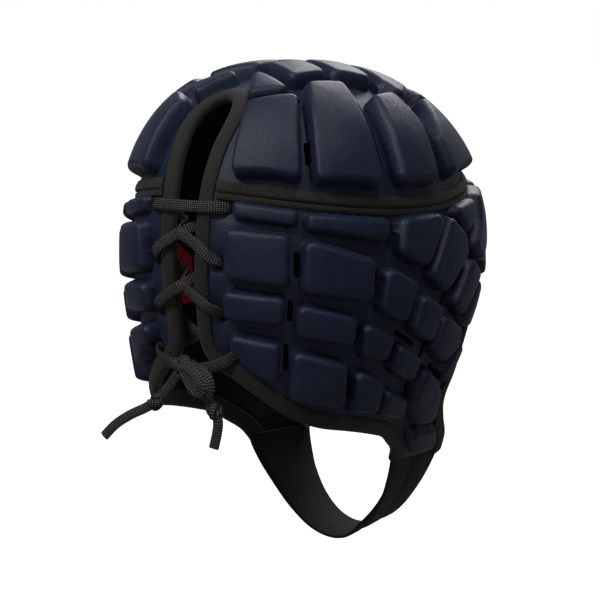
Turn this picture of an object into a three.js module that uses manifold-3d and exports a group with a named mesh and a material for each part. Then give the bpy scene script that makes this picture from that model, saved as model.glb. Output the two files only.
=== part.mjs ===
// Padded rugby scrum cap in the shape it has on a head: moulded foam side
// and crown panels, a seam tape, edge bindings, an inner label, a lace that
// closes the back, its bow and a chin strap. Millimetres, +Z up. The face looks along -Y and
// the wearer's left is +X. The origin is where the head's top meets the crown.

import * as THREE from 'three';
import { mergeVertices } from 'three/addons/utils/BufferGeometryUtils.js';
import Module from 'manifold-3d';

const wasm = await Module();
wasm.setup();

// Head form: the outer face of the panels between their pads
const halfWidth = 84;
const halfBack = 99;
const halfFront = 101;
const crownRise = 99;
const crownSetback = 11;
const planPower = 2.13;
const jawPower = 1.2;
const risePower = 2.4;
const hang = 103;
const jawNarrowing = 0.36;
const napeNarrowing = 0.2;
const chinNarrowing = 0.02;

// Panels, a laminate of outer cloth, foam and black inner cloth, and pads
const panelThickness = 4;
const facetLength = 20;
const sidePadRise = 7.5;
const crownPadRise = 9;
const padShoulder = 2.4;
const seamGap = 0.4;
const ventWidth = 3.4;

// Back slit, lace holes and lace
const slitHalfWidth = 8.5;
const slitCrownHalfWidth = 10;
const slitFootHalfWidth = 7.5;
const slitTopAngle = 33;
const slitArchAngle = 14;
const holeDiameter = 8;
const laceWidth = 3.4;
const laceThickness = 2.4;

// Tapes, bindings, label and strap
const tapeWidth = 8.8;
const tapeThickness = 1.1;
const bindingWidth = 8.5;
const bindingWall = 1.2;
const fitGap = 0.5;
const labelThickness = 0.8;
const knotRadius = 7;
const cordDiameter = 3.6;
const strapThickness = 2.2;
const seamStrapDepth = 0.9;
const strapDrop = 51;
const strapChinWidth = 27;
const strapChinTilt = 4;

const topHeight = crownRise - panelThickness;
const rad = Math.PI / 180;
const sideRate = rad * (halfWidth + (halfBack + halfFront) / 2) / 2;
const crownRate = rad * (halfWidth + crownRise) / 2;

// Depth below the widest level, as a share of hang
const depthAt = z => Math.max(-z, 0) / hang;
const widthShare = depth => 1 - jawNarrowing * depth ** 1.9;
const backShare = depth => 1 - napeNarrowing * depth ** 1.3;
const frontShare = depth => 1 - chinNarrowing * depth ** 1.3;
const planPowerAt = depth => planPower + jawPower * depth ** 3;

// Share of the widest plan that is left at a height above the widest level
const crownShare = z => Math.max(1 - (z / crownRise) ** risePower, 0) ** (1 / risePower);

// A point on the form: turn is degrees round from the back centre towards
// the wearer's right, z the height above the widest level, share the plan's
// scale there
function ringPoint(turn, z, share) {
  const depth = depthAt(z);
  const power = planPowerAt(depth);
  const across = Math.sin(turn * rad);
  const along = Math.cos(turn * rad);
  const reach = (Math.abs(across) ** power + Math.abs(along) ** power) ** (-1 / power);
  const length = along > 0 ? halfBack * backShare(depth) : halfFront * frontShare(depth);
  const lean = crownSetback * (Math.max(z, 0) / crownRise) ** 2 - crownSetback;
  return new THREE.Vector3(
    -halfWidth * widthShare(depth) * share * reach * across,
    length * share * reach * along + lean,
    z - topHeight,
  );
}

const sidePoint = (turn, z) => ringPoint(turn, z, z > 0 ? crownShare(z) : 1);

// A point on the crown: angle is degrees down from the top
function crownPoint(angle, turn) {
  const out = Math.sin(angle * rad);
  const up = Math.cos(angle * rad);
  const reach = (out ** risePower + up ** risePower) ** (-1 / risePower);
  return ringPoint(turn, crownRise * reach * up, reach * out);
}

// The angle down from the top that lies at a height above the widest level
const angleAt = z => Math.atan2(crownShare(z), z / crownRise) / rad;

// How far out a point lies: 1 on the form, more outside it
function level(p) {
  const z = p.z + topHeight;
  const depth = depthAt(z);
  const power = planPowerAt(depth);
  const rise = Math.max(z, 0) / crownRise;
  const y = p.y + crownSetback - crownSetback * rise ** 2;
  const across = Math.abs(p.x) / (halfWidth * widthShare(depth));
  const length = y > 0 ? halfBack * backShare(depth) : halfFront * frontShare(depth);
  const plan = (across ** power + (Math.abs(y) / length) ** power) ** (1 / power);
  return (plan ** risePower + rise ** risePower) ** (1 / risePower);
}

// The outward normal of the form at a point
function normalAt(p) {
  const step = 0.01;
  const slope = axis => {
    const ahead = p.clone();
    const behind = p.clone();
    ahead[axis] += step;
    behind[axis] -= step;
    return level(ahead) - level(behind);
  };
  return new THREE.Vector3(slope('x'), slope('y'), slope('z')).normalize();
}

const lifted = (p, rise) => p.clone().addScaledVector(normalAt(p), rise);

// The point of the form under or over a point close to it
function onForm(p) {
  const z = p.z + topHeight;
  const rise = Math.max(z, 0) / crownRise;
  const y = p.y + crownSetback - crownSetback * rise ** 2;
  const scale = level(p);
  const height = z > 0 ? z / scale : z;
  const lean = crownSetback * (Math.max(height, 0) / crownRise) ** 2 - crownSetback;
  return new THREE.Vector3(p.x / scale, y / scale + lean, height - topHeight);
}

// Flat patterns: a side is laid out as turn against height, the crown as
// angles from the top, both in millimetres
const sidePlace = (u, v) => sidePoint(u / sideRate, v);
const crownPlace = (u, v) => crownPoint(
  Math.max(Math.hypot(u, v) / crownRate, 0.001),
  Math.atan2(-u, v) / rad,
);

// Solids from closed meshes, and back

function solidOf(geometry) {
  geometry.deleteAttribute('normal');
  geometry.deleteAttribute('uv');
  const merged = mergeVertices(geometry, 0.0001);
  return new wasm.Manifold(new wasm.Mesh({
    numProp: 3,
    vertProperties: new Float32Array(merged.attributes.position.array),
    triVerts: new Uint32Array(merged.index.array),
  }));
}

function trianglesOf(solid) {
  const mesh = solid.getMesh();
  return { points: Array.from(mesh.vertProperties), corners: Array.from(mesh.triVerts) };
}

const keyOf = (a, b) => (a < b ? `${a} ${b}` : `${b} ${a}`);

// Swaps the diagonal of two triangles in one plane where that makes both
// rounder, so that no long thin triangles are left
function evened(points, faces) {
  const at = i => new THREE.Vector3(points[3 * i], points[3 * i + 1], points[3 * i + 2]);
  const facing = (a, b, c) => at(b).sub(at(a)).cross(at(c).sub(at(a))).normalize();
  const owners = new Map();
  const own = (a, b, face) => owners.set(`${a} ${b}`, face);
  const pending = [];
  for (let i = 0; i < faces.length; i += 3) {
    for (let k = 0; k < 3; k++) {
      own(faces[i + k], faces[i + (k + 1) % 3], i);
      pending.push([faces[i + k], faces[i + (k + 1) % 3]]);
    }
  }
  const apexOf = (face, a, b) => faces.slice(face, face + 3).find(i => i !== a && i !== b);
  while (pending.length > 0) {
    const [a, b] = pending.pop();
    const near = owners.get(`${a} ${b}`);
    const far = owners.get(`${b} ${a}`);
    if (near === undefined || far === undefined) continue;
    const c = apexOf(near, a, b);
    const d = apexOf(far, a, b);
    if (owners.has(`${c} ${d}`) || owners.has(`${d} ${c}`)) continue;
    const normal = facing(a, b, c);
    if (normal.dot(facing(b, a, d)) < 0.999999) continue;
    if (normal.dot(facing(a, d, c)) < 0.999999 || normal.dot(facing(d, b, c)) < 0.999999) continue;
    const corner = (p, q, r) => at(q).sub(at(p)).angleTo(at(r).sub(at(p)));
    if (corner(c, a, b) + corner(d, a, b) < Math.PI + 0.001) continue;
    owners.delete(`${a} ${b}`);
    owners.delete(`${b} ${a}`);
    faces.splice(near, 3, a, d, c);
    faces.splice(far, 3, d, b, c);
    for (const [p, q, face] of [
      [a, d, near], [d, c, near], [c, a, near], [d, b, far], [b, c, far], [c, d, far],
    ]) {
      own(p, q, face);
      pending.push([p, q]);
    }
  }
}

// Halves the longest edges until none is longer than the limit, so that a
// flat pattern can take the curve of the head
function refine({ points, corners }, limit) {
  const spanOf = (a, b) => Math.hypot(
    points[3 * a] - points[3 * b],
    points[3 * a + 1] - points[3 * b + 1],
    points[3 * a + 2] - points[3 * b + 2],
  );
  let faces = corners;
  for (;;) {
    evened(points, faces);
    const middles = new Map();
    for (let i = 0; i < faces.length; i += 3) {
      const edges = [0, 1, 2].map(k => [faces[i + k], faces[i + (k + 1) % 3]]);
      const spans = edges.map(edge => spanOf(...edge));
      const longest = Math.max(...spans);
      if (longest <= limit) continue;
      const [a, b] = edges[spans.indexOf(longest)];
      if (middles.has(keyOf(a, b))) continue;
      middles.set(keyOf(a, b), points.length / 3);
      for (let k = 0; k < 3; k++) points.push((points[3 * a + k] + points[3 * b + k]) / 2);
    }
    if (middles.size === 0) break;
    const next = [];
    for (let i = 0; i < faces.length; i += 3) {
      let [a, b, c] = faces.slice(i, i + 3);
      let cuts = [middles.get(keyOf(a, b)), middles.get(keyOf(b, c)), middles.get(keyOf(c, a))];
      const count = cuts.filter(cut => cut !== undefined).length;
      const turns = count === 2 ? cuts.indexOf(undefined) + 1 : cuts.findIndex(cut => cut !== undefined);
      for (let k = 0; k < turns; k++) {
        [a, b, c] = [b, c, a];
        cuts = [cuts[1], cuts[2], cuts[0]];
      }
      const [ab, bc, ca] = cuts;
      if (count === 0) next.push(a, b, c);
      if (count === 1) next.push(a, ab, c, ab, b, c);
      if (count === 2) next.push(ab, b, bc, a, ab, bc, a, bc, c);
      if (count === 3) next.push(a, ab, ca, ab, b, bc, ca, bc, c, ab, bc, ca);
    }
    faces = next;
  }
  return { points, corners: faces };
}

function geometryFrom({ points, corners }) {
  const geometry = new THREE.BufferGeometry();
  geometry.setAttribute('position', new THREE.Float32BufferAttribute(points, 3));
  geometry.setIndex(corners);
  geometry.computeVertexNormals();
  return geometry;
}

// Wraps a flat pattern round the form; its third coordinate is the height
// over the form's face
function wrapped({ points, corners }, place) {
  const out = [];
  for (let i = 0; i < points.length; i += 3) {
    out.push(...lifted(place(points[i], points[i + 1]), points[i + 2]).toArray());
  }
  return geometryFrom({ points: out, corners });
}

const shapeOf = outline => new THREE.Shape(outline.map(([u, v]) => new THREE.Vector2(u, v)));

// A flat slab of an outline, from one height over the form to another
function slab(outline, bottom, top) {
  const geometry = new THREE.ExtrudeGeometry(shapeOf(outline), {
    depth: top - bottom,
    bevelEnabled: false,
  });
  return geometry.translate(0, 0, bottom);
}

// A pad: straight walls up to a sloping shoulder, its foot sunk in the sheet
function padSolid(outline, rise) {
  const geometry = new THREE.ExtrudeGeometry(shapeOf(outline), {
    depth: rise - padShoulder,
    bevelThickness: padShoulder,
    bevelSize: padShoulder,
    bevelOffset: -padShoulder,
    bevelSegments: 1,
  });
  return solidOf(geometry);
}

// A slot between two points of a pattern
function slotOutline([u0, v0], [u1, v1]) {
  const length = Math.hypot(u1 - u0, v1 - v0);
  const side = [(v0 - v1) / length * ventWidth / 2, (u1 - u0) / length * ventWidth / 2];
  return [
    [u0 + side[0], v0 + side[1]],
    [u1 + side[0], v1 + side[1]],
    [u1 - side[0], v1 - side[1]],
    [u0 - side[0], v0 - side[1]],
  ];
}

function holeOutline([u, v], diameter) {
  const points = new THREE.EllipseCurve(u, v, diameter / 2, diameter / 2).getPoints(8);
  return points.slice(0, -1).map(point => [point.x, point.y]);
}

// Side pads on the wearer's right: rise as a share of sidePadRise, then
// corners as degrees round from the back and height as a share of hang
const sidePads = [
  { rise: 0.65, corners: [[20, 0.355], [41, 0.31], [40, 0.25], [21, 0.29]] },
  { rise: 0.85, corners: [[44, 0.3], [70, 0.255], [69, 0.16], [44, 0.23]] },
  { rise: 1, corners: [[75, 0.26], [94, 0.265], [84, 0.02], [73, 0.1]] },
  { rise: 1, corners: [[19, 0.23], [38, 0.2], [38, -0.04], [17.5, 0]] },
  { rise: 1, corners: [[43, 0.18], [64, 0.07], [63, -0.12], [42, -0.07]] },
  { rise: 0.9, corners: [[69, 0.03], [80, -0.06], [76.5, -0.25], [66, -0.17]] },
  { rise: 0.9, corners: [[17.5, -0.07], [37, -0.1], [35.5, -0.23], [17, -0.2]] },
  { rise: 0.9, corners: [[41, -0.13], [58.5, -0.21], [58, -0.34], [40, -0.29]] },
  { rise: 0.85, corners: [[61.5, -0.24], [72.5, -0.32], [70.5, -0.43], [61, -0.4]] },
  { rise: 0.95, corners: [[83, -0.12], [93, -0.2], [90, -0.37], [79.5, -0.29]] },
  { rise: 0.85, corners: [[75.5, -0.36], [86, -0.45], [85, -0.56], [74.5, -0.5]] },
  { rise: 1, corners: [[18.5, -0.28], [35, -0.33], [34.5, -0.53], [26, -0.455], [19, -0.36]] },
  { rise: 1, corners: [[39, -0.36], [56, -0.44], [57, -0.655], [39, -0.6]] },
  { rise: 0.95, corners: [[60, -0.47], [70.5, -0.55], [70.5, -0.7], [60.5, -0.68]] },
  { rise: 0.85, corners: [[74, -0.6], [85, -0.67], [85, -0.76], [74, -0.72]] },
  { rise: 0.95, corners: [[97, 0.25], [105, 0.15], [106, 0.05], [94, -0.12], [86, -0.03]] },
  { rise: 0.8, corners: [[101, 0.28], [119, 0.31], [117, 0.22], [108, 0.15]] },
  { rise: 1, corners: [[123, 0.32], [138, 0.355], [137, 0.12], [119, -0.01], [112, 0.08], [120, 0.2]] },
  { rise: 0.95, corners: [[110, 0.02], [119, -0.07], [105, -0.26], [99.5, -0.19]] },
  { rise: 0.8, corners: [[120.5, -0.11], [124, -0.15], [113, -0.34], [107.5, -0.3]] },
  { rise: 0.9, corners: [[95.5, -0.24], [107, -0.34], [106, -0.43], [100, -0.49], [92, -0.42]] },
  { rise: 0.75, corners: [[109, -0.39], [111.5, -0.46], [106, -0.62], [101.5, -0.56]] },
  { rise: 0.95, corners: [[91, -0.5], [102.5, -0.65], [105, -0.82], [97, -0.82], [88.5, -0.67]] },
  { rise: 0.8, corners: [[95, -0.87], [109, -0.88], [114, -1], [104, -1]] },
  { rise: 1, corners: [[142, 0.36], [157, 0.385], [156, 0.14], [141, 0.12]] },
  { rise: 1, corners: [[161, 0.39], [176.5, 0.4], [176.5, 0.15], [160, 0.14]] },
  { rise: 0.9, corners: [[123.5, -0.03], [134, 0.06], [132.5, -0.08], [127.5, -0.09]] },
  { rise: 0.9, corners: [[138, 0.07], [156, 0.1], [155, -0.08], [136, -0.08]] },
  { rise: 0.9, corners: [[160, 0.1], [176.5, 0.11], [176.5, -0.08], [159, -0.08]] },
];

// Vent slots of a side, from end to end, in the same columns
const sideVents = [
  [[40.7, 0.11], [40.5, 0.01]],
  [[38.3, -0.13], [38, -0.21]],
  [[36.8, -0.35], [36.7, -0.46]],
  [[72, 0.23], [71, 0.14]],
  [[66.3, 0.01], [65, -0.07]],
  [[59.8, -0.26], [59.5, -0.33]],
  [[58.2, -0.5], [58.8, -0.6]],
  [[75.5, -0.31], [84, -0.385]],
  [[74, -0.37], [72.7, -0.45]],
  [[72.4, -0.58], [72.2, -0.66]],
  [[91, -0.38], [89, -0.5]],
  [[87, -0.58], [86.8, -0.66]],
  [[97, -0.525], [102, -0.6]],
  [[98, -0.13], [96, -0.21]],
  [[108, 0.11], [109.5, 0.05]],
  [[139.5, 0.3], [139, 0.17]],
  [[158.8, 0.32], [158, 0.19]],
];

// Crown pads on the wearer's right: rise as a share of crownPadRise, then
// corners as degrees from the top, towards the right and towards the back
const crownPads = [
  { rise: 1, corners: [[20, 56], [41, 45], [25, 26], [14, 36.5]] },
  { rise: 1, corners: [[23, 20], [29, 10], [59, 23], [45, 42]] },
  { rise: 1, corners: [[37, 5], [36, -5], [48, -7], [63, -3], [61, 15]] },
  { rise: 1, corners: [[31, -24], [45, -41], [61, -13], [50, -12]] },
  { rise: 0.8, corners: [[2.5, 20], [11.5, 33.5], [21.5, 25]] },
  { rise: 0.9, corners: [[2.5, 14], [18, 20], [21.5, 8.5], [2.5, 1]] },
  { rise: 0.9, corners: [[2.5, -2.5], [22, 5], [29, -5], [2.5, -14]] },
  { rise: 0.9, corners: [[2.5, -17.5], [29, -9], [37, -10], [28.5, -21], [2.5, -30]] },
  { rise: 1, corners: [[27, -28], [41, -44], [19.5, -54.5], [13.5, -33]] },
  { rise: 1, corners: [[2.5, -33.5], [10, -33.5], [15.5, -55], [2.5, -57]] },
];

const crownVents = [
  [[23.5, 24], [27, 28]],
  [[37, 36], [41, 40]],
  [[34, 7.2], [44, 12.5]],
  [[44.5, 12.8], [56, 17.5]],
  [[52, -9.3], [59, -8]],
  [[26, -24.6], [22.5, -26.5]],
];

// Lace holes: distance from the slit's middle in half widths of the slit,
// and height as a share of hang
const laceHoles = [
  { out: 2.85, height: 0.33 },
  { out: 2.5, height: 0.06 },
  { out: 2.45, height: -0.2 },
  { out: 2.95, height: -0.37 },
];

// The seam between crown and sides dips over the ears and rises in front
const seamHeight = turn => hang * (
  0.385 - 0.025 * Math.cos(turn * rad) + 0.062 * Math.cos(2 * turn * rad)
);

// Half width of the slit in the side panels, between seam and foot
const slitFootHeight = -0.3 * hang;
function slitHalfAt(z) {
  const up = (z - slitFootHeight) / (seamHeight(0) - slitFootHeight);
  return slitFootHalfWidth + (slitHalfWidth - slitFootHalfWidth) * THREE.MathUtils.clamp(up, 0, 1);
}

// The turn at which the form lies a distance to the side of the back centre
const turnAt = (aside, z) => Math.asin(
  aside / (halfWidth * (z > 0 ? crownShare(z) : widthShare(depthAt(z)))),
) / rad;
const seamTurn = turnAt(slitHalfWidth, seamHeight(0));

// Free edges of a side, as [degrees round, share of hang]: from the slit's
// straight foot round the nape to the cheek, and up the face to its middle
const neckEdge = [
  [turnAt(slitFootHalfWidth, slitFootHeight), -0.3], [5.9, -0.37], [8.5, -0.43], [12.5, -0.475],
  [18, -0.515], [25, -0.575], [36, -0.675], [43, -0.725], [51, -0.765], [63, -0.8],
  [76, -0.845], [84, -0.88], [91, -0.94], [96, -1], [98, -1.06],
];
const faceEdge = [
  [123.5, -1.06], [122, -0.97], [116.5, -0.86], [113, -0.77], [112.5, -0.7], [115, -0.6],
  [118, -0.47], [123, -0.36], [129, -0.27], [136, -0.21], [146, -0.18], [162, -0.17], [179.7, -0.17],
];

// Even places along a smooth edge, laid out flat
function smoothEdge(rows, step) {
  const line = new THREE.CatmullRomCurve3(
    rows.map(([turn, share]) => new THREE.Vector3(turn * sideRate, share * hang, 0)),
    false,
    'centripetal',
  );
  return line.getSpacedPoints(Math.round(line.getLength() / step)).map(p => [p.x, p.y]);
}
const neckLine = smoothEdge(neckEdge, 12);
const faceLine = smoothEdge(faceEdge, 13);

// Panels, the right side as drawn and the left side mirrored

const flatSide = hand => ([turn, share]) => [hand * turn * sideRate, share * hang];
const flatCrown = hand => ([right, back]) => [-hand * right * crownRate, back * crownRate];

const slitSteps = 6;
const slitHeights = Array.from({ length: slitSteps + 1 }, (_, i) => (
  seamHeight(0) + (slitFootHeight - seamHeight(0)) * i / slitSteps
));

function sideOutline(hand) {
  const seamSteps = 20;
  const seam = [];
  for (let i = 0; i <= seamSteps; i++) {
    const turn = seamTurn + (179.7 - seamTurn) * i / seamSteps;
    seam.push([hand * turn * sideRate, seamHeight(turn) - seamGap]);
  }
  const slit = slitHeights.slice(1, -1).map(z => [turnAt(slitHalfAt(z), z) * sideRate, z]);
  return [
    ...seam.reverse(),
    ...[...slit, ...neckLine, ...faceLine].map(([u, v]) => [hand * u, v]),
  ];
}

// The crown's edge follows the seam round the front, then the slit's arch
function crownOutline() {
  const outline = [];
  const seamSteps = 40;
  for (let i = 0; i <= seamSteps; i++) {
    const turn = seamTurn + (360 - 2 * seamTurn) * i / seamSteps;
    const reach = angleAt(seamHeight(turn) + seamGap) * crownRate;
    outline.push([-reach * Math.sin(turn * rad), reach * Math.cos(turn * rad)]);
  }
  return [...outline, ...archPoints(-1).slice(1).map(flatArch), ...archPoints(1).reverse().slice(1, -1).map(flatArch)];
}

// Points up one side of the slit from the seam to the top of its arch, as
// [angle down from the top, distance to the side]
function archPoints(hand) {
  const rows = [];
  const straight = 3;
  const start = angleAt(seamHeight(0));
  const springing = slitTopAngle + slitArchAngle;
  for (let i = 0; i < straight; i++) {
    const aside = THREE.MathUtils.lerp(slitHalfWidth, slitCrownHalfWidth, i / straight);
    rows.push([start + (springing - start) * i / straight, hand * aside]);
  }
  for (let i = 0; i <= 5; i++) {
    const swing = 90 * i / 5 * rad;
    rows.push([springing - slitArchAngle * Math.sin(swing), hand * slitCrownHalfWidth * Math.cos(swing)]);
  }
  return rows;
}

const archTurn = (angle, aside) => {
  const out = Math.sin(angle * rad);
  const up = Math.cos(angle * rad);
  return Math.asin(aside * (out ** risePower + up ** risePower) ** (1 / risePower) / (halfWidth * out)) / rad;
};

function flatArch([angle, aside]) {
  const turn = archTurn(angle, aside);
  return [-angle * crownRate * Math.sin(turn * rad), angle * crownRate * Math.cos(turn * rad)];
}

function cutSheet(sheet, cutters) {
  return cutters.reduce((left, outline) => left.subtract(
    solidOf(slab(outline, -2 * panelThickness, 2 * crownPadRise)),
  ), sheet);
}

const sideCuts = hand => [
  ...sideVents.map(ends => slotOutline(...ends.map(flatSide(hand)))),
  ...laceHoles.map(hole => holeOutline([
    hand * turnAt(hole.out * slitHalfWidth, hole.height * hang) * sideRate,
    hole.height * hang,
  ], holeDiameter)),
];

const crownCuts = () => [1, -1].flatMap(
  hand => crownVents.map(ends => slotOutline(...ends.map(flatCrown(hand)))),
);

function sidePanel(hand) {
  const sheet = solidOf(slab(sideOutline(hand), -panelThickness, 0));
  const padded = sidePads.reduce((whole, pad) => whole.add(
    padSolid(pad.corners.map(flatSide(hand)), pad.rise * sidePadRise),
  ), sheet);
  return wrapped(refine(trianglesOf(cutSheet(padded, sideCuts(hand))), facetLength), sidePlace);
}

function crownPanel() {
  const sheet = solidOf(slab(crownOutline(), -panelThickness, 0));
  const padded = [1, -1].flatMap(hand => crownPads.map(
    pad => padSolid(pad.corners.map(flatCrown(hand)), pad.rise * crownPadRise),
  )).reduce((whole, pad) => whole.add(pad), sheet);
  return wrapped(refine(trianglesOf(cutSheet(padded, crownCuts())), facetLength), crownPlace);
}

// Strips: a section carried along a row of stations, each a point of the
// form. Its first coordinate runs across the form, its second away from it

function strip(section, points, lay = onForm) {
  const count = points.length - 1;
  const geometry = new THREE.ExtrudeGeometry(shapeOf(section), {
    steps: count,
    depth: count,
    bevelEnabled: false,
  });
  geometry.deleteAttribute('normal');
  geometry.deleteAttribute('uv');
  const merged = mergeVertices(geometry, 0.0001);
  const place = merged.attributes.position;
  for (let i = 0; i < place.count; i++) {
    const at = Math.round(place.getZ(i));
    const ahead = points[Math.min(at + 1, count)].clone().sub(points[Math.max(at - 1, 0)]).normalize();
    const across = normalAt(points[at]).cross(ahead).normalize();
    const foot = lay(points[at].clone().addScaledVector(across, place.getX(i)));
    place.setXYZ(i, ...lifted(foot, place.getY(i)).toArray());
  }
  merged.computeVertexNormals();
  return merged;
}

// A folded tape round a panel's edge: two legs and a bend
const innerFace = -panelThickness - 2 * fitGap;
const bindingSection = [
  [-bindingWidth, fitGap],
  [fitGap, fitGap],
  [fitGap, innerFace],
  [-bindingWidth, innerFace],
  [-bindingWidth, innerFace - bindingWall],
  [fitGap + 0.4 * bindingWall, innerFace - bindingWall],
  [fitGap + bindingWall, innerFace],
  [fitGap + bindingWall, fitGap],
  [fitGap + 0.4 * bindingWall, fitGap + bindingWall],
  [-bindingWidth, fitGap + bindingWall],
];

const mirroredPoints = points => points.map(p => new THREE.Vector3(-p.x, p.y, p.z));
const placed = (line, hand = 1) => line.map(([u, v]) => sidePlace(hand * u, v));

// The slit's tape runs on round the flare at its foot, as far as flareSteps
const flareSteps = 3;

function slitBinding() {
  const flare = placed(neckLine.slice(0, flareSteps + 1)).reverse();
  const straight = slitHeights.slice(1, -1).reverse().map(z => sidePoint(turnAt(slitHalfAt(z), z), z));
  const arch = archPoints(1).map(([angle, aside]) => crownPoint(angle, archTurn(angle, aside)));
  const half = [...flare, ...straight, ...arch];
  return strip(bindingSection, [...half, ...mirroredPoints(half.slice(0, -1)).reverse()]);
}

function neckBinding(hand) {
  const points = placed(neckLine.slice(flareSteps), hand);
  points[0].lerp(points[1], 0.06);
  return strip(bindingSection, hand > 0 ? points.reverse() : points);
}

function faceBinding() {
  const half = [...placed(faceLine.slice(0, -1), -1), sidePoint(180, faceLine.at(-1)[1])];
  return strip(bindingSection, [...half, ...mirroredPoints(half.slice(0, -1)).reverse()]);
}

function seamTape() {
  const start = turnAt(slitHalfWidth + bindingWidth + fitGap, seamHeight(0));
  const count = 60;
  const points = [];
  for (let i = 0; i <= count; i++) {
    const turn = start + (360 - 2 * start) * i / count;
    points.push(sidePoint(turn, seamHeight(turn)));
  }
  const half = tapeWidth / 2;
  return strip([
    [-half, fitGap],
    [half, fitGap],
    [half, fitGap + tapeThickness],
    [-half, fitGap + tapeThickness],
  ], points);
}

// A plain cloth label inside the left side, in the columns of the side pads
const labelCorners = [[77, -0.03], [87, -0.15], [87.5, -0.4], [79, -0.4], [80.5, -0.2], [76.5, -0.11]];

function innerLabel() {
  const face = -panelThickness - fitGap - 0.3;
  const sheet = solidOf(slab(labelCorners.map(flatSide(-1)), face - labelThickness, face));
  return wrapped(refine(trianglesOf(sheet), facetLength), sidePlace);
}

// Chin strap: rows from the cheek's foot to the middle of the chin, as
// shares of the half span, of strapDrop, and of the half width at the cheek
const strapRows = [
  { out: 1, drop: 0, width: 1 },
  { out: 0.93, drop: 0.2, width: 0.8 },
  { out: 0.8, drop: 0.45, width: 0.5 },
  { out: 0.58, drop: 0.73, width: 0.25 },
  { out: 0.3, drop: 0.93, width: 0.08 },
  { out: 0, drop: 1, width: 0 },
];

// The loop's two long edges, worked out from the cheek's foot
const cheekRear = sidePlace(-neckLine.at(-1)[0], neckLine.at(-1)[1]);
const cheekFront = sidePlace(-faceLine[0][0], faceLine[0][1]);
const cheekMiddle = cheekRear.clone().add(cheekFront).multiplyScalar(0.5);
const cheekSpan = cheekFront.clone().sub(cheekRear);

function strapCurve(edge) {
  const left = strapRows.map(row => new THREE.Vector3(
    cheekMiddle.x * row.out + edge * cheekSpan.x / 2 * row.out ** 2,
    cheekMiddle.y - edge * THREE.MathUtils.lerp(strapChinWidth, -cheekSpan.y, row.width) / 2,
    cheekMiddle.z - strapDrop * row.drop - seamGap + edge * strapChinTilt / 2 * row.drop,
  ));
  return new THREE.CatmullRomCurve3([...left, ...mirroredPoints(left.slice(0, -1)).reverse()]);
}
const strapRear = strapCurve(-1);
const strapFront = strapCurve(1);

// A length of the strap between two shares of the loop; riseAt gives how far
// its outer face lies outside the loop
function strapPiece(from, to, count, riseAt) {
  const geometry = new THREE.ExtrudeGeometry(shapeOf([
    [0, 0], [1, 0], [1, strapThickness], [0, strapThickness],
  ]), { steps: count, depth: count, bevelEnabled: false });
  geometry.deleteAttribute('normal');
  geometry.deleteAttribute('uv');
  const merged = mergeVertices(geometry, 0.0001);
  const place = merged.attributes.position;
  for (let i = 0; i < place.count; i++) {
    const share = from + (to - from) * place.getZ(i) / count;
    const rear = strapRear.getPointAt(share);
    const front = strapFront.getPointAt(share);
    const out = front.clone().sub(rear).cross(strapRear.getTangentAt(share)).normalize();
    const p = rear.lerp(front, place.getX(i)).addScaledVector(out, riseAt(share) - place.getY(i));
    place.setXYZ(i, ...p.toArray());
  }
  merged.computeVertexNormals();
  return merged;
}

// The long strap slips under the short one, which is sewn to the right cheek
const shortFrom = 0.67;
const longTo = 0.86;
const tuck = strapThickness + fitGap;
const longRise = share => -seamStrapDepth - tuck * THREE.MathUtils.smoothstep(share, shortFrom - 0.12, shortFrom);
const longStrap = () => strapPiece(0, longTo, 26, longRise);
const shortStrap = () => strapPiece(shortFrom, 1, 10, () => -seamStrapDepth);

// Lace: places on the back, as distance to the left in half widths of the
// slit, height as a share of hang, and height over the panel's face. It goes
// from hole to hole inside and comes out through the slit over its edge
const over = fitGap + bindingWall + laceThickness / 2 + 0.7;
const under = innerFace - bindingWall - laceThickness / 2 - 0.9;
const laceRows = [
  [0, 0.33, over], [1.3, 0.33, over], [2.2, 0.33, over - 0.2], [2.95, 0.328, -2],
  [2.3, 0.305, under], [1.3, 0.265, under], [0.8, 0.24, under - 0.1], [0, 0.205, -2.3],
  [-0.8, 0.17, over], [-1.3, 0.145, over + 0.4], [-1.95, 0.1, over + 0.4], [-2.6, 0.058, -2],
  [-2, 0.03, under], [-1.3, 0, under], [-0.8, -0.025, under - 0.1], [0, -0.06, -2.3],
  [0.8, -0.095, over], [1.3, -0.12, over + 0.4], [1.9, -0.155, over + 0.4], [2.55, -0.2, -2],
  [1.95, -0.24, under], [0.7, -0.3, under], [-0.7, -0.345, under], [-2.3, -0.36, under],
  [-2.95, -0.37, -2], [-2.65, -0.39, over], [-1.9, -0.44, over + 1], [-0.85, -0.488, over + 2],
];

// Where the two halves cross, one passes above the other
const laceLap = 0.018;

const backPoint = ([out, share, rise]) => {
  const z = share * hang;
  const side = out * slitHalfWidth;
  return lifted(sidePoint(-Math.sign(side) * turnAt(Math.abs(side), z), z), rise);
};

function laceHalf(hand) {
  const lapAt = out => (Math.abs(out) < 0.9 ? hand * laceLap : 0);
  return laceRows.map(([out, share, rise]) => backPoint([hand * out, share + lapAt(out), rise]));
}

// A flattened cord along a route
function cordGeometry(route, width, thickness, steps, sides = 8) {
  const section = new THREE.EllipseCurve(0, 0, thickness / 2, width / 2).getPoints(sides);
  const path = new THREE.CatmullRomCurve3(route, false, 'centripetal');
  const geometry = new THREE.ExtrudeGeometry(new THREE.Shape(section.slice(0, -1)), {
    steps,
    extrudePath: path,
  });
  geometry.deleteAttribute('normal');
  geometry.deleteAttribute('uv');
  const merged = mergeVertices(geometry, 0.0001);
  merged.computeVertexNormals();
  return merged;
}

const lace = () => cordGeometry(
  [...laceHalf(1).slice(1).reverse(), ...laceHalf(-1)], laceWidth, laceThickness, 74,
);

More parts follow.
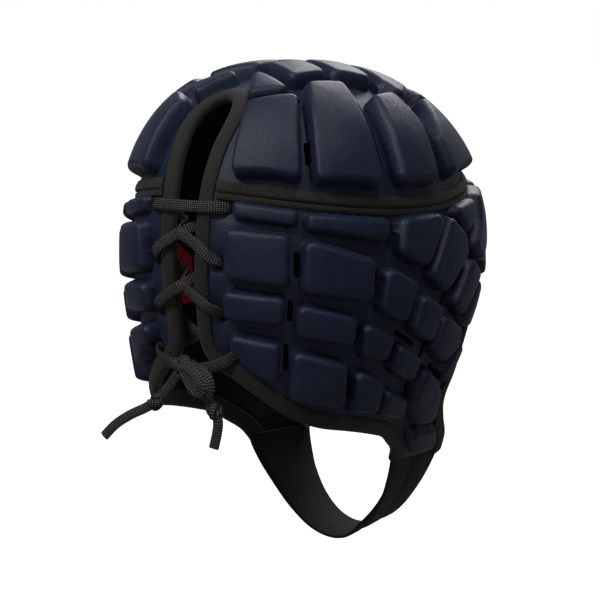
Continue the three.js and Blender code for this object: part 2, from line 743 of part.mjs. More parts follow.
// The bow at the foot of the lace: a knot, one long loop and two free ends,
// each end with a stop knot on it. Points as they hang, in millimetres from
// the knot, which lies on the back over the foot of the slit
const knotCentre = backPoint([0, -0.46, knotRadius]);
const loopRoute = [
  [-7.5, 1.2, -0.7], [-11, 2.2, -1.2], [-15.5, 3.2, -2.6], [-19.4, 3.6, -6.2], [-19.6, 3.4, -11],
  [-15.6, 2.9, -13.2], [-10.5, 2.2, -10.6], [-5.5, 1, -6.2],
];
const rightEndRoute = [
  [-2.4, -3.2, -5.6], [-8.5, -2.4, -11], [-14.5, -1.2, -16.5], [-19.5, -0.4, -21.5], [-22.3, 0, -27],
  [-21.6, 0, -33], [-19.4, 0, -41],
];
const leftEndRoute = [
  [4.6, 0, -4.6], [9, 0.6, -10.5], [14, 1.6, -16.5], [17.5, 2.5, -20.5], [24, 4, -24.4], [33, 6.5, -29],
  [41, 9, -34.6], [47, 11, -41],
];
const toPoints = route => route.map(place => new THREE.Vector3(...place).add(knotCentre));

function bowKnot() {
  const geometry = new THREE.SphereGeometry(knotRadius, 10, 8);
  geometry.deleteAttribute('normal');
  geometry.deleteAttribute('uv');
  const merged = mergeVertices(geometry, 0.0001).scale(1, 0.7, 0.8).translate(...knotCentre.toArray());
  merged.computeVertexNormals();
  return merged;
}

// A stop knot, as a short sleeve round the cord at a share of its route
function stopKnot(route, share) {
  const bore = cordDiameter / 2 + fitGap + 0.1;
  const profile = [[bore, -3], [3.6, -3.4], [4.6, -1.4], [4.6, 1.4], [3.6, 3.4], [bore, 3], [bore, -3]];
  const path = new THREE.CatmullRomCurve3(toPoints(route), false, 'centripetal');
  const geometry = new THREE.LatheGeometry(profile.map(([r, y]) => new THREE.Vector2(r, y)), 8);
  geometry.deleteAttribute('normal');
  geometry.deleteAttribute('uv');
  const merged = mergeVertices(geometry, 0.0001);
  const turn = new THREE.Quaternion().setFromUnitVectors(
    new THREE.Vector3(0, 1, 0),
    path.getTangentAt(share),
  );
  merged.applyQuaternion(turn).translate(...path.getPointAt(share).toArray());
  merged.computeVertexNormals();
  return merged;
}

const looseCord = (route, steps) => cordGeometry(toPoints(route), cordDiameter, cordDiameter, steps);

// The cap

const navy = { color: 0x1b2238, roughness: 0.6, metalness: 0 };
const black = { color: 0x22211d, roughness: 0.85, metalness: 0 };
const red = { color: 0xa00020, roughness: 0.8, metalness: 0 };
const group = new THREE.Group();

function addPiece(name, geometry, finish) {
  const mesh = new THREE.Mesh(geometry, new THREE.MeshStandardMaterial(finish));
  mesh.name = name;
  group.add(mesh);
}

for (const [hand, side] of [[1, 'right'], [-1, 'left']]) {
  addPiece(`side_panel_${side}`, sidePanel(hand), navy);
  addPiece(`neck_binding_${side}`, neckBinding(hand), black);
}
addPiece('crown_panel', crownPanel(), navy);
addPiece('seam_tape', seamTape(), black);
addPiece('slit_binding', slitBinding(), black);
addPiece('face_binding', faceBinding(), black);
addPiece('inner_label', innerLabel(), red);
addPiece('chin_strap_left', longStrap(), black);
addPiece('chin_strap_right', shortStrap(), black);
addPiece('lace', lace(), black);
addPiece('lace_knot', bowKnot(), black);
addPiece('lace_loop', looseCord(loopRoute, 12), black);
addPiece('lace_end_right', looseCord(rightEndRoute, 6), black);
addPiece('lace_stop_right', stopKnot(rightEndRoute, 0.56), black);
addPiece('lace_end_left', looseCord(leftEndRoute, 9), black);
addPiece('lace_stop_left', stopKnot(leftEndRoute, 0.36), black);

export default group;
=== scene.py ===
import math

import bpy
import numpy as np
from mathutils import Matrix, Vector


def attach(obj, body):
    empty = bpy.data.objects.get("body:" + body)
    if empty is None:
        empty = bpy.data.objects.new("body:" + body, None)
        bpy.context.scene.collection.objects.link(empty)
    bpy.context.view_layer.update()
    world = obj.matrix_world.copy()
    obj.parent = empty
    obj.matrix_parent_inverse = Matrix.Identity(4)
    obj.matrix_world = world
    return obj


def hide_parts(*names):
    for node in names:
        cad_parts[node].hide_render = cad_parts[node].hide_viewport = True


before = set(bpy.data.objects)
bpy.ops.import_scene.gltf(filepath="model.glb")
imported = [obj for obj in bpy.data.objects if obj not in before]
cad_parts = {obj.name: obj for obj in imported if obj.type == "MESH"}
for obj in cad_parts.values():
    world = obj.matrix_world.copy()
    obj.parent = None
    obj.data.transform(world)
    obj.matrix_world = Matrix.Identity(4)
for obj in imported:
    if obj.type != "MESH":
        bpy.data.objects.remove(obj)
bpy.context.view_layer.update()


# The photograph's view: level with the back of the head, behind the wearer's right ear,
# from a little over a metre away with a long lens.
view_turn = 218.5
view_rise = 6
view_distance = 1.133
aim_left = 0.0027
aim_down = 0.0235
back_of_head = Vector((0, -0.011, -0.095))


def direction(turn, rise):
    """The way from the cap to a camera or lamp: degrees round from the front, and above level."""
    turn, rise = math.radians(turn), math.radians(rise)
    return Vector((math.sin(turn) * math.cos(rise), -math.cos(turn) * math.cos(rise), math.sin(rise)))


towards_camera = direction(view_turn, view_rise)
image_right = Vector((math.cos(math.radians(view_turn)), math.sin(math.radians(view_turn)), 0))
image_up = towards_camera.cross(image_right)
frame_middle = back_of_head - aim_left * image_right - aim_down * image_up
bpy.ops.object.camera_add(location=back_of_head + towards_camera * view_distance)
camera = bpy.context.active_object
camera.rotation_mode = "QUATERNION"
camera.rotation_quaternion = (frame_middle - camera.location).to_track_quat("-Z", "Y")
camera.data.sensor_width = 36
camera.data.lens = 124.5
bpy.context.scene.camera = camera


# The free part of the lace below its lowest holes: a bow of flat black braid, 6 mm wide, whose loop
# shows two strands. Each of its two ends has a stop knot pulled tight. Points are in millimetres.
lace_width = 6.0
lace_thickness = 2.2
knot_place = np.array([0, 87.8, -142.4])
knot_swell = 0.42
knot_flatness = 0.62
loop_route = [
    [-6.5, 1.0, -0.6], [-11, 2.2, -1.2], [-15.5, 3.2, -2.6], [-19.4, 3.6, -6.2], [-19.6, 3.4, -11],
    [-15.6, 2.9, -13.2], [-10.5, 2.2, -10.6], [-5.5, 1.0, -6.2],
]
fold_route = [
    [-1.5, 2.6, 1.4], [-6, 4.2, 0.2], [-11, 5.4, -2.2], [-15.2, 5.8, -5.6], [-16.6, 5.6, -10.2],
    [-13, 5.2, -12.4], [-8.4, 4.4, -9.4], [-4.6, 3.4, -5.4], [-1.8, 2.8, -2.6],
]
right_end_route = [
    [-2.4, -3.2, -5.6], [-8.5, -2.4, -11], [-14.5, -1.2, -16.5], [-19.5, -0.4, -21.5], [-22.3, 0, -27],
    [-21.6, 0, -33], [-19.4, 0, -41],
]
left_end_route = [
    [4.6, 0, -4.6], [9, 0.6, -10.5], [14, 1.6, -16.5], [17.5, 2.5, -20.5], [24, 4, -24.4], [33, 6.5, -29],
    [41, 9, -34.6], [47, 11, -41],
]


def smooth_line(points, count, span_places=60):
    """Even places along a smooth line through points, as a cord or tape takes it."""
    points = np.asarray(points, float)
    padded = np.vstack([2 * points[0] - points[1], points, 2 * points[-1] - points[-2]])
    dense = []
    for before, start, end, after in zip(padded, padded[1:], padded[2:], padded[3:]):
        steps = ((before, start), (start, end), (end, after))
        gaps = [max(np.linalg.norm(b - a), 1e-6) ** 0.5 for a, b in steps]
        leave = (start - before) / gaps[0] - (end - before) / (gaps[0] + gaps[1]) + (end - start) / gaps[1]
        arrive = (end - start) / gaps[1] - (after - start) / (gaps[1] + gaps[2]) + (after - end) / gaps[2]
        leave, arrive = leave * gaps[1], arrive * gaps[1]
        share = np.linspace(0, 1, span_places, endpoint=False)[:, None]
        dense.append(
            start + leave * share + (3 * (end - start) - 2 * leave - arrive) * share ** 2
            + (2 * (start - end) + leave + arrive) * share ** 3
        )
    dense = np.vstack(dense + [points[-1:]])
    run = np.concatenate([[0], np.cumsum(np.linalg.norm(np.diff(dense, axis=0), axis=1))])
    places = np.linspace(0, run[-1], count)
    return np.stack([np.interp(places, run, dense[:, k]) for k in range(points.shape[1])], 1)


def unit(vectors):
    return vectors / np.maximum(np.linalg.norm(vectors, axis=-1, keepdims=True), 1e-9)


def along(line):
    """The direction of a line at each of its places."""
    return unit(np.gradient(line, axis=0))


def vertex_places(mesh):
    flat = np.empty(len(mesh.vertices) * 3)
    mesh.vertices.foreach_get("co", flat)
    return flat.reshape(-1, 3)


def corner_vertices(mesh):
    """The vertex at each corner of each face."""
    corner_of = np.empty(len(mesh.loops), int)
    mesh.loops.foreach_get("vertex_index", corner_of)
    return corner_of


def woven_strip(name, rings):
    """A closed strip from rings of points, one ring for each place along it. Its UV map is in
    millimetres: along the strip, and round it."""
    rings = np.asarray(rings, float)
    stations, corners = rings.shape[:2]
    bpy.ops.object.select_all(action="DESELECT")
    bpy.ops.mesh.primitive_grid_add(x_subdivisions=stations - 1, y_subdivisions=corners, size=2)
    piece = bpy.context.active_object
    piece.name = piece.data.name = name
    mesh = piece.data
    flat = vertex_places(mesh)
    column = np.rint((flat[:, 0] + 1) / 2 * (stations - 1)).astype(int)
    row = np.rint((flat[:, 1] + 1) / 2 * corners).astype(int)
    mesh.vertices.foreach_set("co", (rings[column, row % corners] / 1000).ravel())
    middle = rings.mean(1)
    run = np.concatenate([[0], np.cumsum(np.linalg.norm(np.diff(middle, axis=0), axis=1))])
    ring = rings[stations // 2]
    girth = np.concatenate([[0], np.cumsum(np.linalg.norm(np.roll(ring, -1, 0) - ring, axis=1))])
    corner_of = corner_vertices(mesh)
    uv = np.stack([run[column[corner_of]], girth[row[corner_of]]], 1)
    mesh.uv_layers.active.data.foreach_set("uv", uv.ravel())
    bpy.ops.object.mode_set(mode="EDIT")
    bpy.ops.mesh.select_all(action="SELECT")
    bpy.ops.mesh.remove_doubles(threshold=0.000002)
    bpy.ops.mesh.fill_holes(sides=0)
    bpy.ops.mesh.select_all(action="SELECT")
    bpy.ops.mesh.normals_make_consistent(inside=False)
    bpy.ops.object.mode_set(mode="OBJECT")
    bpy.ops.object.shade_smooth_by_angle(angle=math.radians(50))
    return piece


def oval(width, thickness, corners=16):
    """The outline of a flat braid: a flattened oval, as distances across and outwards."""
    swing = np.arange(corners) / corners * 2 * np.pi
    across = np.sign(np.cos(swing)) * np.abs(np.cos(swing)) ** 0.7 * width / 2
    return np.stack([across, np.sin(swing) * thickness / 2], 1)


def carried_rings(line, across, out, outline):
    """An outline carried along a line, given the ways across it and outwards at each place."""
    return line[:, None] + across[:, None] * outline[None, :, :1] + out[:, None] * outline[None, :, 1:]


def braid(name, line, outward, width=lace_width, thickness=lace_thickness):
    """A flat braid along a line, with its flat side turned to face outward."""
    ahead = along(line)
    across = unit(np.cross(outward, ahead))
    return woven_strip(name, carried_rings(line, across, np.cross(ahead, across), oval(width, thickness)))


strand_rate_along = 2.4
strand_rate_across = 2.9
lace_black = bpy.data.materials.new("lace_black")
lace_black.use_nodes = True
nodes, links = lace_black.node_tree.nodes, lace_black.node_tree.links
cloth_shader = nodes["Principled BSDF"]
cloth_shader.inputs["Roughness"].default_value = 0.7
cloth_shader.inputs["Specular IOR Level"].default_value = 0.35
place = nodes.new("ShaderNodeUVMap")
place.uv_map = "UVMap"
split = nodes.new("ShaderNodeSeparateXYZ")
links.new(place.outputs["UV"], split.inputs["Vector"])


def maths(tree, operation, first, second=None, third=None):
    """One step of arithmetic in a material."""
    step = tree.nodes.new("ShaderNodeMath")
    step.operation = operation
    for socket, value in zip(step.inputs, (first, second, third)):
        if isinstance(value, (int, float)):
            socket.default_value = value
        elif value is not None:
            tree.links.new(value, socket)
    return step.outputs[0]


tree = lace_black.node_tree
strands = []
for lean in (1, -1):
    lengthwise = maths(tree, "MULTIPLY", split.outputs["X"], strand_rate_along)
    slant = maths(tree, "MULTIPLY_ADD", split.outputs["Y"], lean * strand_rate_across, lengthwise)
    strands.append(maths(tree, "SINE", slant))
crossing = maths(tree, "MULTIPLY", strands[0], strands[1])
height = maths(tree, "MULTIPLY_ADD", crossing, 0.5, 0.5)
# Painted highlight and painted shade: the raised strands of the weave are coloured light grey, and the
# hollows between them near black.
strand_shine_and_shade = nodes.new("ShaderNodeValToRGB")
strand_shine_and_shade.color_ramp.elements[0].position = 0.35
strand_shine_and_shade.color_ramp.elements[0].color = (0.003, 0.003, 0.003, 1)
strand_shine_and_shade.color_ramp.elements[1].position = 0.95
strand_shine_and_shade.color_ramp.elements[1].color = (0.17, 0.168, 0.155, 1)
middle_tone = strand_shine_and_shade.color_ramp.elements.new(0.7)
middle_tone.color = (0.012, 0.012, 0.011, 1)
links.new(height, strand_shine_and_shade.inputs["Fac"])
links.new(strand_shine_and_shade.outputs["Color"], cloth_shader.inputs["Base Color"])
braid_bump = nodes.new("ShaderNodeBump")
braid_bump.inputs["Strength"].default_value = 0.9
braid_bump.inputs["Distance"].default_value = 0.0004
links.new(height, braid_bump.inputs["Height"])
links.new(braid_bump.outputs["Normal"], cloth_shader.inputs["Normal"])


def pulled_knot(name, centre, lead, size, squash=(1, 1, 1), turn=0.0):
    """An overhand knot pulled tight: the braid lies round itself three times on a ring."""
    swing = np.linspace(0, 2 * np.pi, 73)[:-1] + turn
    ring = size * (1 + knot_swell * np.cos(3 * swing))
    path = np.stack([
        ring * np.cos(2 * swing) * knot_flatness,
        ring * np.sin(2 * swing) * knot_flatness,
        size * knot_flatness * np.sin(3 * swing),
    ], 1)
    lead = unit(np.asarray(lead, float))
    side = unit(np.cross(lead, [0.2, 1, 0.1]))
    axes = np.stack([side, np.cross(lead, side), lead], 0)
    path = centre + (path * np.asarray(squash)) @ axes
    closed = np.vstack([path, path[:1]])
    ahead = unit(np.roll(path, -1, 0) - np.roll(path, 1, 0))
    ahead = np.vstack([ahead, ahead[:1]])
    out = closed - centre
    out = unit(out - (out * ahead).sum(1, keepdims=True) * ahead)
    outline = oval(size * 0.95, size * knot_flatness)
    return woven_strip(name, carried_rings(closed, np.cross(out, ahead), out, outline))


def finish_lace(piece, *solids):
    piece.data.materials.append(lace_black)
    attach(piece, "root")
    for solid in solids:
        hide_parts(solid)


bow_knot = pulled_knot("bow_knot", knot_place, [1, 0, 0.15], 4.8, squash=(0.85, 1.0, 1.35))
finish_lace(bow_knot, "lace_knot")

loop_line = smooth_line(knot_place + np.array(loop_route), 40)
loop_facing = np.tile([-0.35, 0.9, 0.15], (len(loop_line), 1))
bow_loop = braid("bow_loop", loop_line, loop_facing, thickness=2.4)
finish_lace(bow_loop, "lace_loop")
fold_line = smooth_line(knot_place + np.array(fold_route), 40)
fold_facing = np.tile([-0.45, 0.85, 0.2], (len(fold_line), 1))
bow_fold = braid("bow_fold", fold_line, fold_facing, thickness=2.4)
finish_lace(bow_fold)

for side, route, stop_share, facing in (
    ("right", right_end_route, 0.56, [-0.4, 0.9, 0.1]),
    ("left", left_end_route, 0.36, [-0.3, 0.95, 0.25]),
):
    line = smooth_line(knot_place + np.array(route), 50)
    piece = braid(f"bow_end_{side}", line, np.tile(facing, (len(line), 1)), width=5.4, thickness=2.6)
    finish_lace(piece, f"lace_end_{side}")
    at = round(stop_share * (len(line) - 1))
    lead = line[at + 1] - line[at - 1]
    stop = pulled_knot(f"stop_knot_{side}", line[at], lead, 3.6, squash=(1, 1, 1.25), turn=0.6)
    finish_lace(stop, f"lace_stop_{side}")


# The crown: one moulded piece of soft foam under a thin navy knit, with black cloth inside. Heat
# presses ten pads a side out of it, up to 9 mm high, and the cloth lies close in the grooves between.
half_width = 84
half_back = 99
half_front = 101
crown_rise = 99
crown_setback = 11
crown_power = 2.4
hang = 103
plan_power = 2.13
low_plan_power = 1.2
jaw_narrowing = 0.36
jaw_bend = 1.9
nape_narrowing = 0.2
chin_narrowing = 0.02
low_bend = 1.3
seam_drop = 0.385
seam_lean = 0.025
seam_wave = 0.062
seam_gap = 0.4
panel_thickness = 4
crown_pad_rise = 9
slit_half_width = 9.3
side_rate = math.radians(half_width + (half_back + half_front) / 2) / 2
crown_rate = math.radians(half_width + crown_rise) / 2
crown_pads = [
    (1, [[20, 56], [41, 45], [25, 26], [14, 36.5]]),
    (1, [[23, 20], [29, 10], [59, 23], [45, 42]]),
    (1, [[37, 5], [36, -5], [48, -7], [63, -3], [61, 15]]),
    (1, [[31, -24], [45, -41], [61, -13], [50, -12]]),
    (0.8, [[2.5, 20], [11.5, 33.5], [21.5, 25]]),
    (0.9, [[2.5, 14], [18, 20], [21.5, 8.5], [2.5, 1]]),
    (0.9, [[2.5, -2.5], [22, 5], [29, -5], [2.5, -14]]),
    (0.9, [[2.5, -17.5], [29, -9], [37, -10], [28.5, -21], [2.5, -30]]),
    (1, [[27, -28], [41, -44], [19.5, -54.5], [13.5, -33]]),
    (1, [[2.5, -33.5], [10, -33.5], [15.5, -55], [2.5, -57]]),
]
crown_vents = [
    [[23.5, 24], [27, 28]],
    [[37, 36], [41, 40]],
    [[34, 7.2], [44, 12.5]],
    [[44.5, 12.8], [56, 17.5]],
    [[52, -9.3], [59, -8]],
    [[26, -24.6], [22.5, -26.5]],
]
vent_width = 3


def depth_at(z):
    return np.maximum(-z, 0) / hang


def plan_at(z):
    """Power, half width, back length and front length of the head's plan at a height."""
    depth = depth_at(z)
    return (
        plan_power + low_plan_power * depth ** 3,
        half_width * (1 - jaw_narrowing * depth ** jaw_bend),
        half_back * (1 - nape_narrowing * depth ** low_bend),
        half_front * (1 - chin_narrowing * depth ** low_bend),
    )


def crown_share(z):
    return np.clip(1 - (np.clip(z, 0, crown_rise) / crown_rise) ** crown_power, 0, 1) ** (1 / crown_power)


def ring_point(turn, z, share):
    """A point on the head's form: degrees round from the back to the wearer's right, and height."""
    power, wide, back, front = plan_at(z)
    across, ahead = np.sin(np.radians(turn)), np.cos(np.radians(turn))
    reach = (np.abs(across) ** power + np.abs(ahead) ** power) ** (-1 / power)
    length = np.where(ahead > 0, back, front)
    lean = crown_setback * (np.clip(z, 0, None) / crown_rise) ** 2 - crown_setback
    return np.stack([
        -wide * share * reach * across,
        length * share * reach * ahead + lean,
        z - (crown_rise - panel_thickness) + 0 * reach,
    ], -1)


def side_point(turn, z):
    turn, z = np.broadcast_arrays(np.asarray(turn, float), np.asarray(z, float))
    return ring_point(turn, z, np.where(z > 0, crown_share(z), 1))


def crown_point(angle, turn):
    out, up = np.sin(np.radians(angle)), np.cos(np.radians(angle))
    reach = (out ** crown_power + up ** crown_power) ** (-1 / crown_power)
    return ring_point(turn, crown_rise * reach * up, reach * out)


def level(points):
    """1 on the form, more outside it."""
    z = points[..., 2] + crown_rise - panel_thickness
    power, wide, back, front = plan_at(z)
    rise = np.clip(z, 0, None) / crown_rise
    y = points[..., 1] + crown_setback - crown_setback * rise ** 2
    aside, ahead = np.abs(points[..., 0] / wide), np.abs(y / np.where(y > 0, back, front))
    plan = (aside ** power + ahead ** power) ** (1 / power)
    return (plan ** crown_power + rise ** crown_power) ** (1 / crown_power)


def normal_at(points):
    step = 0.01 * np.eye(3)
    return unit(np.stack([level(points + step[k]) - level(points - step[k]) for k in range(3)], -1))


def lifted(points, rise):
    return points + normal_at(points) * np.asarray(rise)[..., None]


def on_form(points):
    """The places of the form under points that lie close to it."""
    scale = level(points)
    z = points[..., 2] + crown_rise - panel_thickness
    y = points[..., 1] + crown_setback - crown_setback * (np.clip(z, 0, None) / crown_rise) ** 2
    height = np.where(z > 0, z / scale, z)
    lean = crown_setback * (np.clip(height, 0, None) / crown_rise) ** 2 - crown_setback
    return np.stack([points[..., 0] / scale, y / scale + lean, height - (crown_rise - panel_thickness)], -1)


def seam_height(turn):
    """The seam between crown and sides dips over the ears and rises in front."""
    turn = np.radians(turn)
    return hang * (seam_drop - seam_lean * np.cos(turn) + seam_wave * np.cos(2 * turn))


def turn_at(aside, z):
    """The turn at which the form lies so far to the side of the back's middle."""
    wide = half_width * np.where(z > 0, crown_share(z), 1 - jaw_narrowing * depth_at(z) ** jaw_bend)
    return np.degrees(np.arcsin(aside / wide))


def outline_distance(points, outline):
    """Distance of flat points from an outline, below 0 inside, and the nearest place on it."""
    outline = np.asarray(outline, float)
    best = np.full(len(points), np.inf)
    nearest = np.zeros_like(points)
    inside = np.zeros(len(points), bool)
    for start, end in zip(outline, np.roll(outline, -1, 0)):
        edge = end - start
        share = np.clip((points - start) @ edge / max(edge @ edge, 1e-12), 0, 1)
        foot = start + share[:, None] * edge
        gap = np.linalg.norm(points - foot, axis=1)
        closer = gap < best
        best[closer], nearest[closer] = gap[closer], foot[closer]
        with np.errstate(divide="ignore", invalid="ignore"):
            crossing = start[0] + (points[:, 1] - start[1]) * edge[0] / edge[1]
        inside ^= ((start[1] > points[:, 1]) != (end[1] > points[:, 1])) & (points[:, 0] < crossing)
    return np.where(inside, -best, best), nearest


def turned_area(outline):
    """The area inside an outline, below 0 where it runs clockwise."""
    x, y = outline.T
    return (x * np.roll(y, -1) - np.roll(x, -1) * y).sum() / 2


def inset(outline, margin):
    """An outline with each edge moved inwards by a margin."""
    outline = np.asarray(outline, float)
    edges = np.roll(outline, -1, 0) - outline
    inwards = unit(np.stack([-edges[:, 1], edges[:, 0]], 1)) * np.sign(turned_area(outline))
    moved = []
    for k in range(len(outline)):
        a, b = inwards[k - 1], inwards[k]
        moved.append(outline[k] + (a + b) * margin / (1 + a @ b))
    return np.array(moved)


pad_shoulder = 3.8
pad_spread = 1.6
pad_corner_round = 3.6
pad_crowning = 0.75
crowning_run = 9
outside_every_pad = -99.0


def moulded_height(points, pads, rise):
    """How far the cloth is pressed out at flat points, and how far inside the pads' feet they lie."""
    height = np.zeros(len(points))
    depth_in = np.full(len(points), outside_every_pad)
    for share, corners in pads:
        corners = np.asarray(corners, float)
        low, high = corners.min(0) - 6, corners.max(0) + 6
        close = ((points > low) & (points < high)).all(1)
        if not close.any():
            continue
        edges = np.linalg.norm(np.roll(corners, -1, 0) - corners, axis=1)
        girth = abs(turned_area(corners)) / edges.sum()
        rounding = min(pad_corner_round, 0.75 * girth)
        gap, _ = outline_distance(points[close], inset(corners, rounding))
        into = rounding + pad_spread - gap
        width = min(pad_shoulder, 1.25 * girth)
        run = np.clip(into / width, 0, 1)
        dome = share * rise * (1 - (1 - run) ** 2.4) ** 0.62
        dome += pad_crowning * np.clip(1 - np.exp(-np.clip(into, 0, None) / crowning_run), 0, 1) * (run > 0)
        height[close] = np.maximum(height[close], dome)
        depth_in[close] = np.maximum(depth_in[close], into)
    return height, depth_in


def capsule(start, end, width):
    """The outline of a slot with round ends."""
    start, end = np.asarray(start, float), np.asarray(end, float)
    heading = math.atan2(*(end - start)[::-1])
    swing = np.linspace(-90, 90, 7)
    ends = []
    for centre, turn in ((end, 0), (start, 180)):
        angles = np.radians(swing + turn) + heading
        ends.append(centre + width / 2 * np.stack([np.cos(angles), np.sin(angles)], 1))
    return np.vstack(ends)


edge_pinch = 1.6
pinch_width = 9


def moulded_panel(
    name, outline, pads, rise, openings, place,
    pitch=0.85, dimples=(), inner=-panel_thickness, pinch=edge_pinch,
):
    """A sheet of foam between two cloths: a flat grid cut to the outline, its openings cut out,
    pushed through to its thickness, pressed into pads and wrapped on the head's form."""
    outline = np.asarray(outline, float)
    low, high = outline.min(0) - pitch, outline.max(0) + pitch
    columns, rows = np.ceil((high - low) / pitch).astype(int)
    bpy.ops.object.select_all(action="DESELECT")
    bpy.ops.mesh.primitive_grid_add(x_subdivisions=columns, y_subdivisions=rows, size=2)
    piece = bpy.context.active_object
    piece.name = piece.data.name = name
    mesh = piece.data
    flat = vertex_places(mesh)
    flat[:, :2] = low + (flat[:, :2] + 1) / 2 * [columns, rows] * pitch
    quads = corner_vertices(mesh).reshape(-1, 4)
    centres = flat[quads, :2].mean(1)
    dropped = outline_distance(centres, outline)[0] > 0
    for hole in openings:
        close = (np.abs(centres - np.mean(hole, 0)) < np.ptp(hole, 0) + 2 * pitch).all(1)
        dropped[close] |= outline_distance(centres[close], hole)[0] < 0
    kept = np.zeros(len(flat), bool)
    kept[quads[~dropped].ravel()] = True
    lost = np.zeros(len(flat), bool)
    lost[quads[dropped].ravel()] = True
    rim = np.flatnonzero(kept & lost)
    nearest_gap = np.full(len(rim), np.inf)
    nearest = flat[rim, :2].copy()
    for edge in [outline, *openings]:
        gap, foot = outline_distance(flat[rim, :2], edge)
        closer = np.abs(gap) < nearest_gap
        nearest_gap[closer], nearest[closer] = np.abs(gap)[closer], foot[closer]
    flat[rim, :2] = nearest
    mesh.vertices.foreach_set("co", flat.ravel())
    bpy.ops.object.mode_set(mode="EDIT")
    bpy.ops.mesh.select_all(action="DESELECT")
    bpy.ops.object.mode_set(mode="OBJECT")
    mesh.polygons.foreach_set("select", dropped)
    bpy.ops.object.mode_set(mode="EDIT")
    bpy.ops.mesh.delete(type="FACE")
    bpy.ops.mesh.select_all(action="SELECT")
    bpy.ops.mesh.extrude_region_move(TRANSFORM_OT_translate={"value": (0, 0, inner)})
    bpy.ops.mesh.select_all(action="SELECT")
    bpy.ops.mesh.normals_make_consistent(inside=False)
    bpy.ops.object.mode_set(mode="OBJECT")
    flat = vertex_places(mesh)
    top = flat[:, 2] > inner / 2
    mesh.uv_layers.active.data.foreach_set("uv", flat[corner_vertices(mesh), :2].ravel())
    points = flat[:, :2].copy()
    if pads:
        step = 0.05
        _, into = moulded_height(points, pads, rise)
        _, ahead = moulded_height(points + [step, 0], pads, rise)
        _, above = moulded_height(points + [0, step], pads, rise)
        slope = np.stack([ahead - into, above - into], 1) / step
        foot = top & (np.abs(into) < 0.36 * pitch)
        steepness = np.maximum((slope ** 2).sum(1, keepdims=True), 0.25)
        points[foot] -= (into[:, None] * slope / steepness)[foot]
        height, _ = moulded_height(points, pads, rise)
    else:
        height = np.zeros(len(points))
    for centre, radius, sink in dimples:
        height = height - sink * np.exp(-((points - centre) ** 2).sum(1) / radius ** 2)
    from_edge = np.clip(-outline_distance(points[~top], outline)[0] / pinch_width, 0, 1)
    height[~top] = inner + pinch * (1 - from_edge ** 2 * (3 - 2 * from_edge))
    finished = lifted(place(points[:, 0], points[:, 1]), height)
    mesh.vertices.foreach_set("co", (finished / 1000).ravel())
    lining = np.zeros(len(mesh.polygons), int)
    for face in mesh.polygons:
        lining[face.index] = not all(top[v] for v in face.vertices)
    mesh.polygons.foreach_set("material_index", lining)
    bpy.ops.object.shade_smooth_by_angle(angle=math.radians(55))
    mesh.update()
    return piece


def crown_place(u, v):
    return crown_point(np.maximum(np.hypot(u, v) / crown_rate, 0.001), np.degrees(np.arctan2(-u, v)))


def angle_at(z):
    """The angle down from the top of the crown at a height."""
    return np.degrees(np.arctan2(crown_share(z), z / crown_rise))


slit_top_angle = 31.5
slit_crown_half_width = 11.3
slit_arch_angle = 14
arch = []
springing = slit_top_angle + slit_arch_angle
for share in np.linspace(0, 1, 6, endpoint=False):
    start_angle = angle_at(seam_height(0.0))
    aside = slit_half_width + (slit_crown_half_width - slit_half_width) * share
    arch.append([start_angle + (springing - start_angle) * share, aside])
for swing in np.radians(np.linspace(0, 90, 13)):
    arch.append([springing - slit_arch_angle * math.sin(swing), slit_crown_half_width * math.cos(swing)])
arch = np.array(arch)


def arch_turn(angle, aside):
    out, up = np.sin(np.radians(angle)), np.cos(np.radians(angle))
    reach = (out ** crown_power + up ** crown_power) ** (1 / crown_power)
    return np.degrees(np.arcsin(aside * reach / (half_width * out)))


seam_start = float(turn_at(slit_half_width, seam_height(0.0)))
seam_turns = np.linspace(seam_start, 360 - seam_start, 181)
seam_reach = angle_at(seam_height(seam_turns) + seam_gap) * crown_rate
crown_edge = np.stack([
    -seam_reach * np.sin(np.radians(seam_turns)), seam_reach * np.cos(np.radians(seam_turns)),
], 1)
arch_side = np.radians(arch_turn(arch[:, 0], arch[:, 1]))
arch_flat = arch[:, :1] * crown_rate * np.stack([np.sin(arch_side), np.cos(arch_side)], 1)
crown_outline = np.vstack([crown_edge, arch_flat[1:], (arch_flat * [-1, 1])[-2:0:-1]])

low_row_angle = 50
low_row_stretch = 1.035
crown_pieces = []
crown_cuts = []
for hand in (1, -1):
    for share, corners in crown_pads:
        corners = np.array(corners, float)
        corners[np.hypot(*corners.T) > low_row_angle] *= low_row_stretch
        crown_pieces.append((share, corners * [-hand * crown_rate, crown_rate]))
    for start, end in crown_vents:
        ends = np.array([start, end]) * [-hand * crown_rate, crown_rate]
        crown_cuts.append(capsule(ends[0], ends[1], vent_width))
crown = moulded_panel("crown", crown_outline, crown_pieces, crown_pad_rise, crown_cuts, crown_place)

knit_effect = bpy.data.node_groups.new("fine_knit", "ShaderNodeTree")
for socket_name, default in (("Grain", 1.0), ("Wave", 1.0)):
    socket = knit_effect.interface.new_socket(socket_name, in_out="INPUT", socket_type="NodeSocketFloat")
    socket.default_value = default
for socket_name in ("Height", "Tone"):
    knit_effect.interface.new_socket(socket_name, in_out="OUTPUT", socket_type="NodeSocketFloat")
entry = knit_effect.nodes.new("NodeGroupInput")
leave = knit_effect.nodes.new("NodeGroupOutput")
where = knit_effect.nodes.new("ShaderNodeUVMap")
where.uv_map = "UVMap"
body = knit_effect.nodes.new("ShaderNodeTexCoord")
parts = knit_effect.nodes.new("ShaderNodeSeparateXYZ")
knit_effect.links.new(where.outputs["UV"], parts.inputs["Vector"])
course = maths(knit_effect, "SINE", maths(knit_effect, "MULTIPLY", parts.outputs["Y"], 9.5))
wale = maths(knit_effect, "SINE", maths(knit_effect, "MULTIPLY", parts.outputs["X"], 7.0))
stitches = maths(knit_effect, "MULTIPLY", course, wale)
noise_layers = []
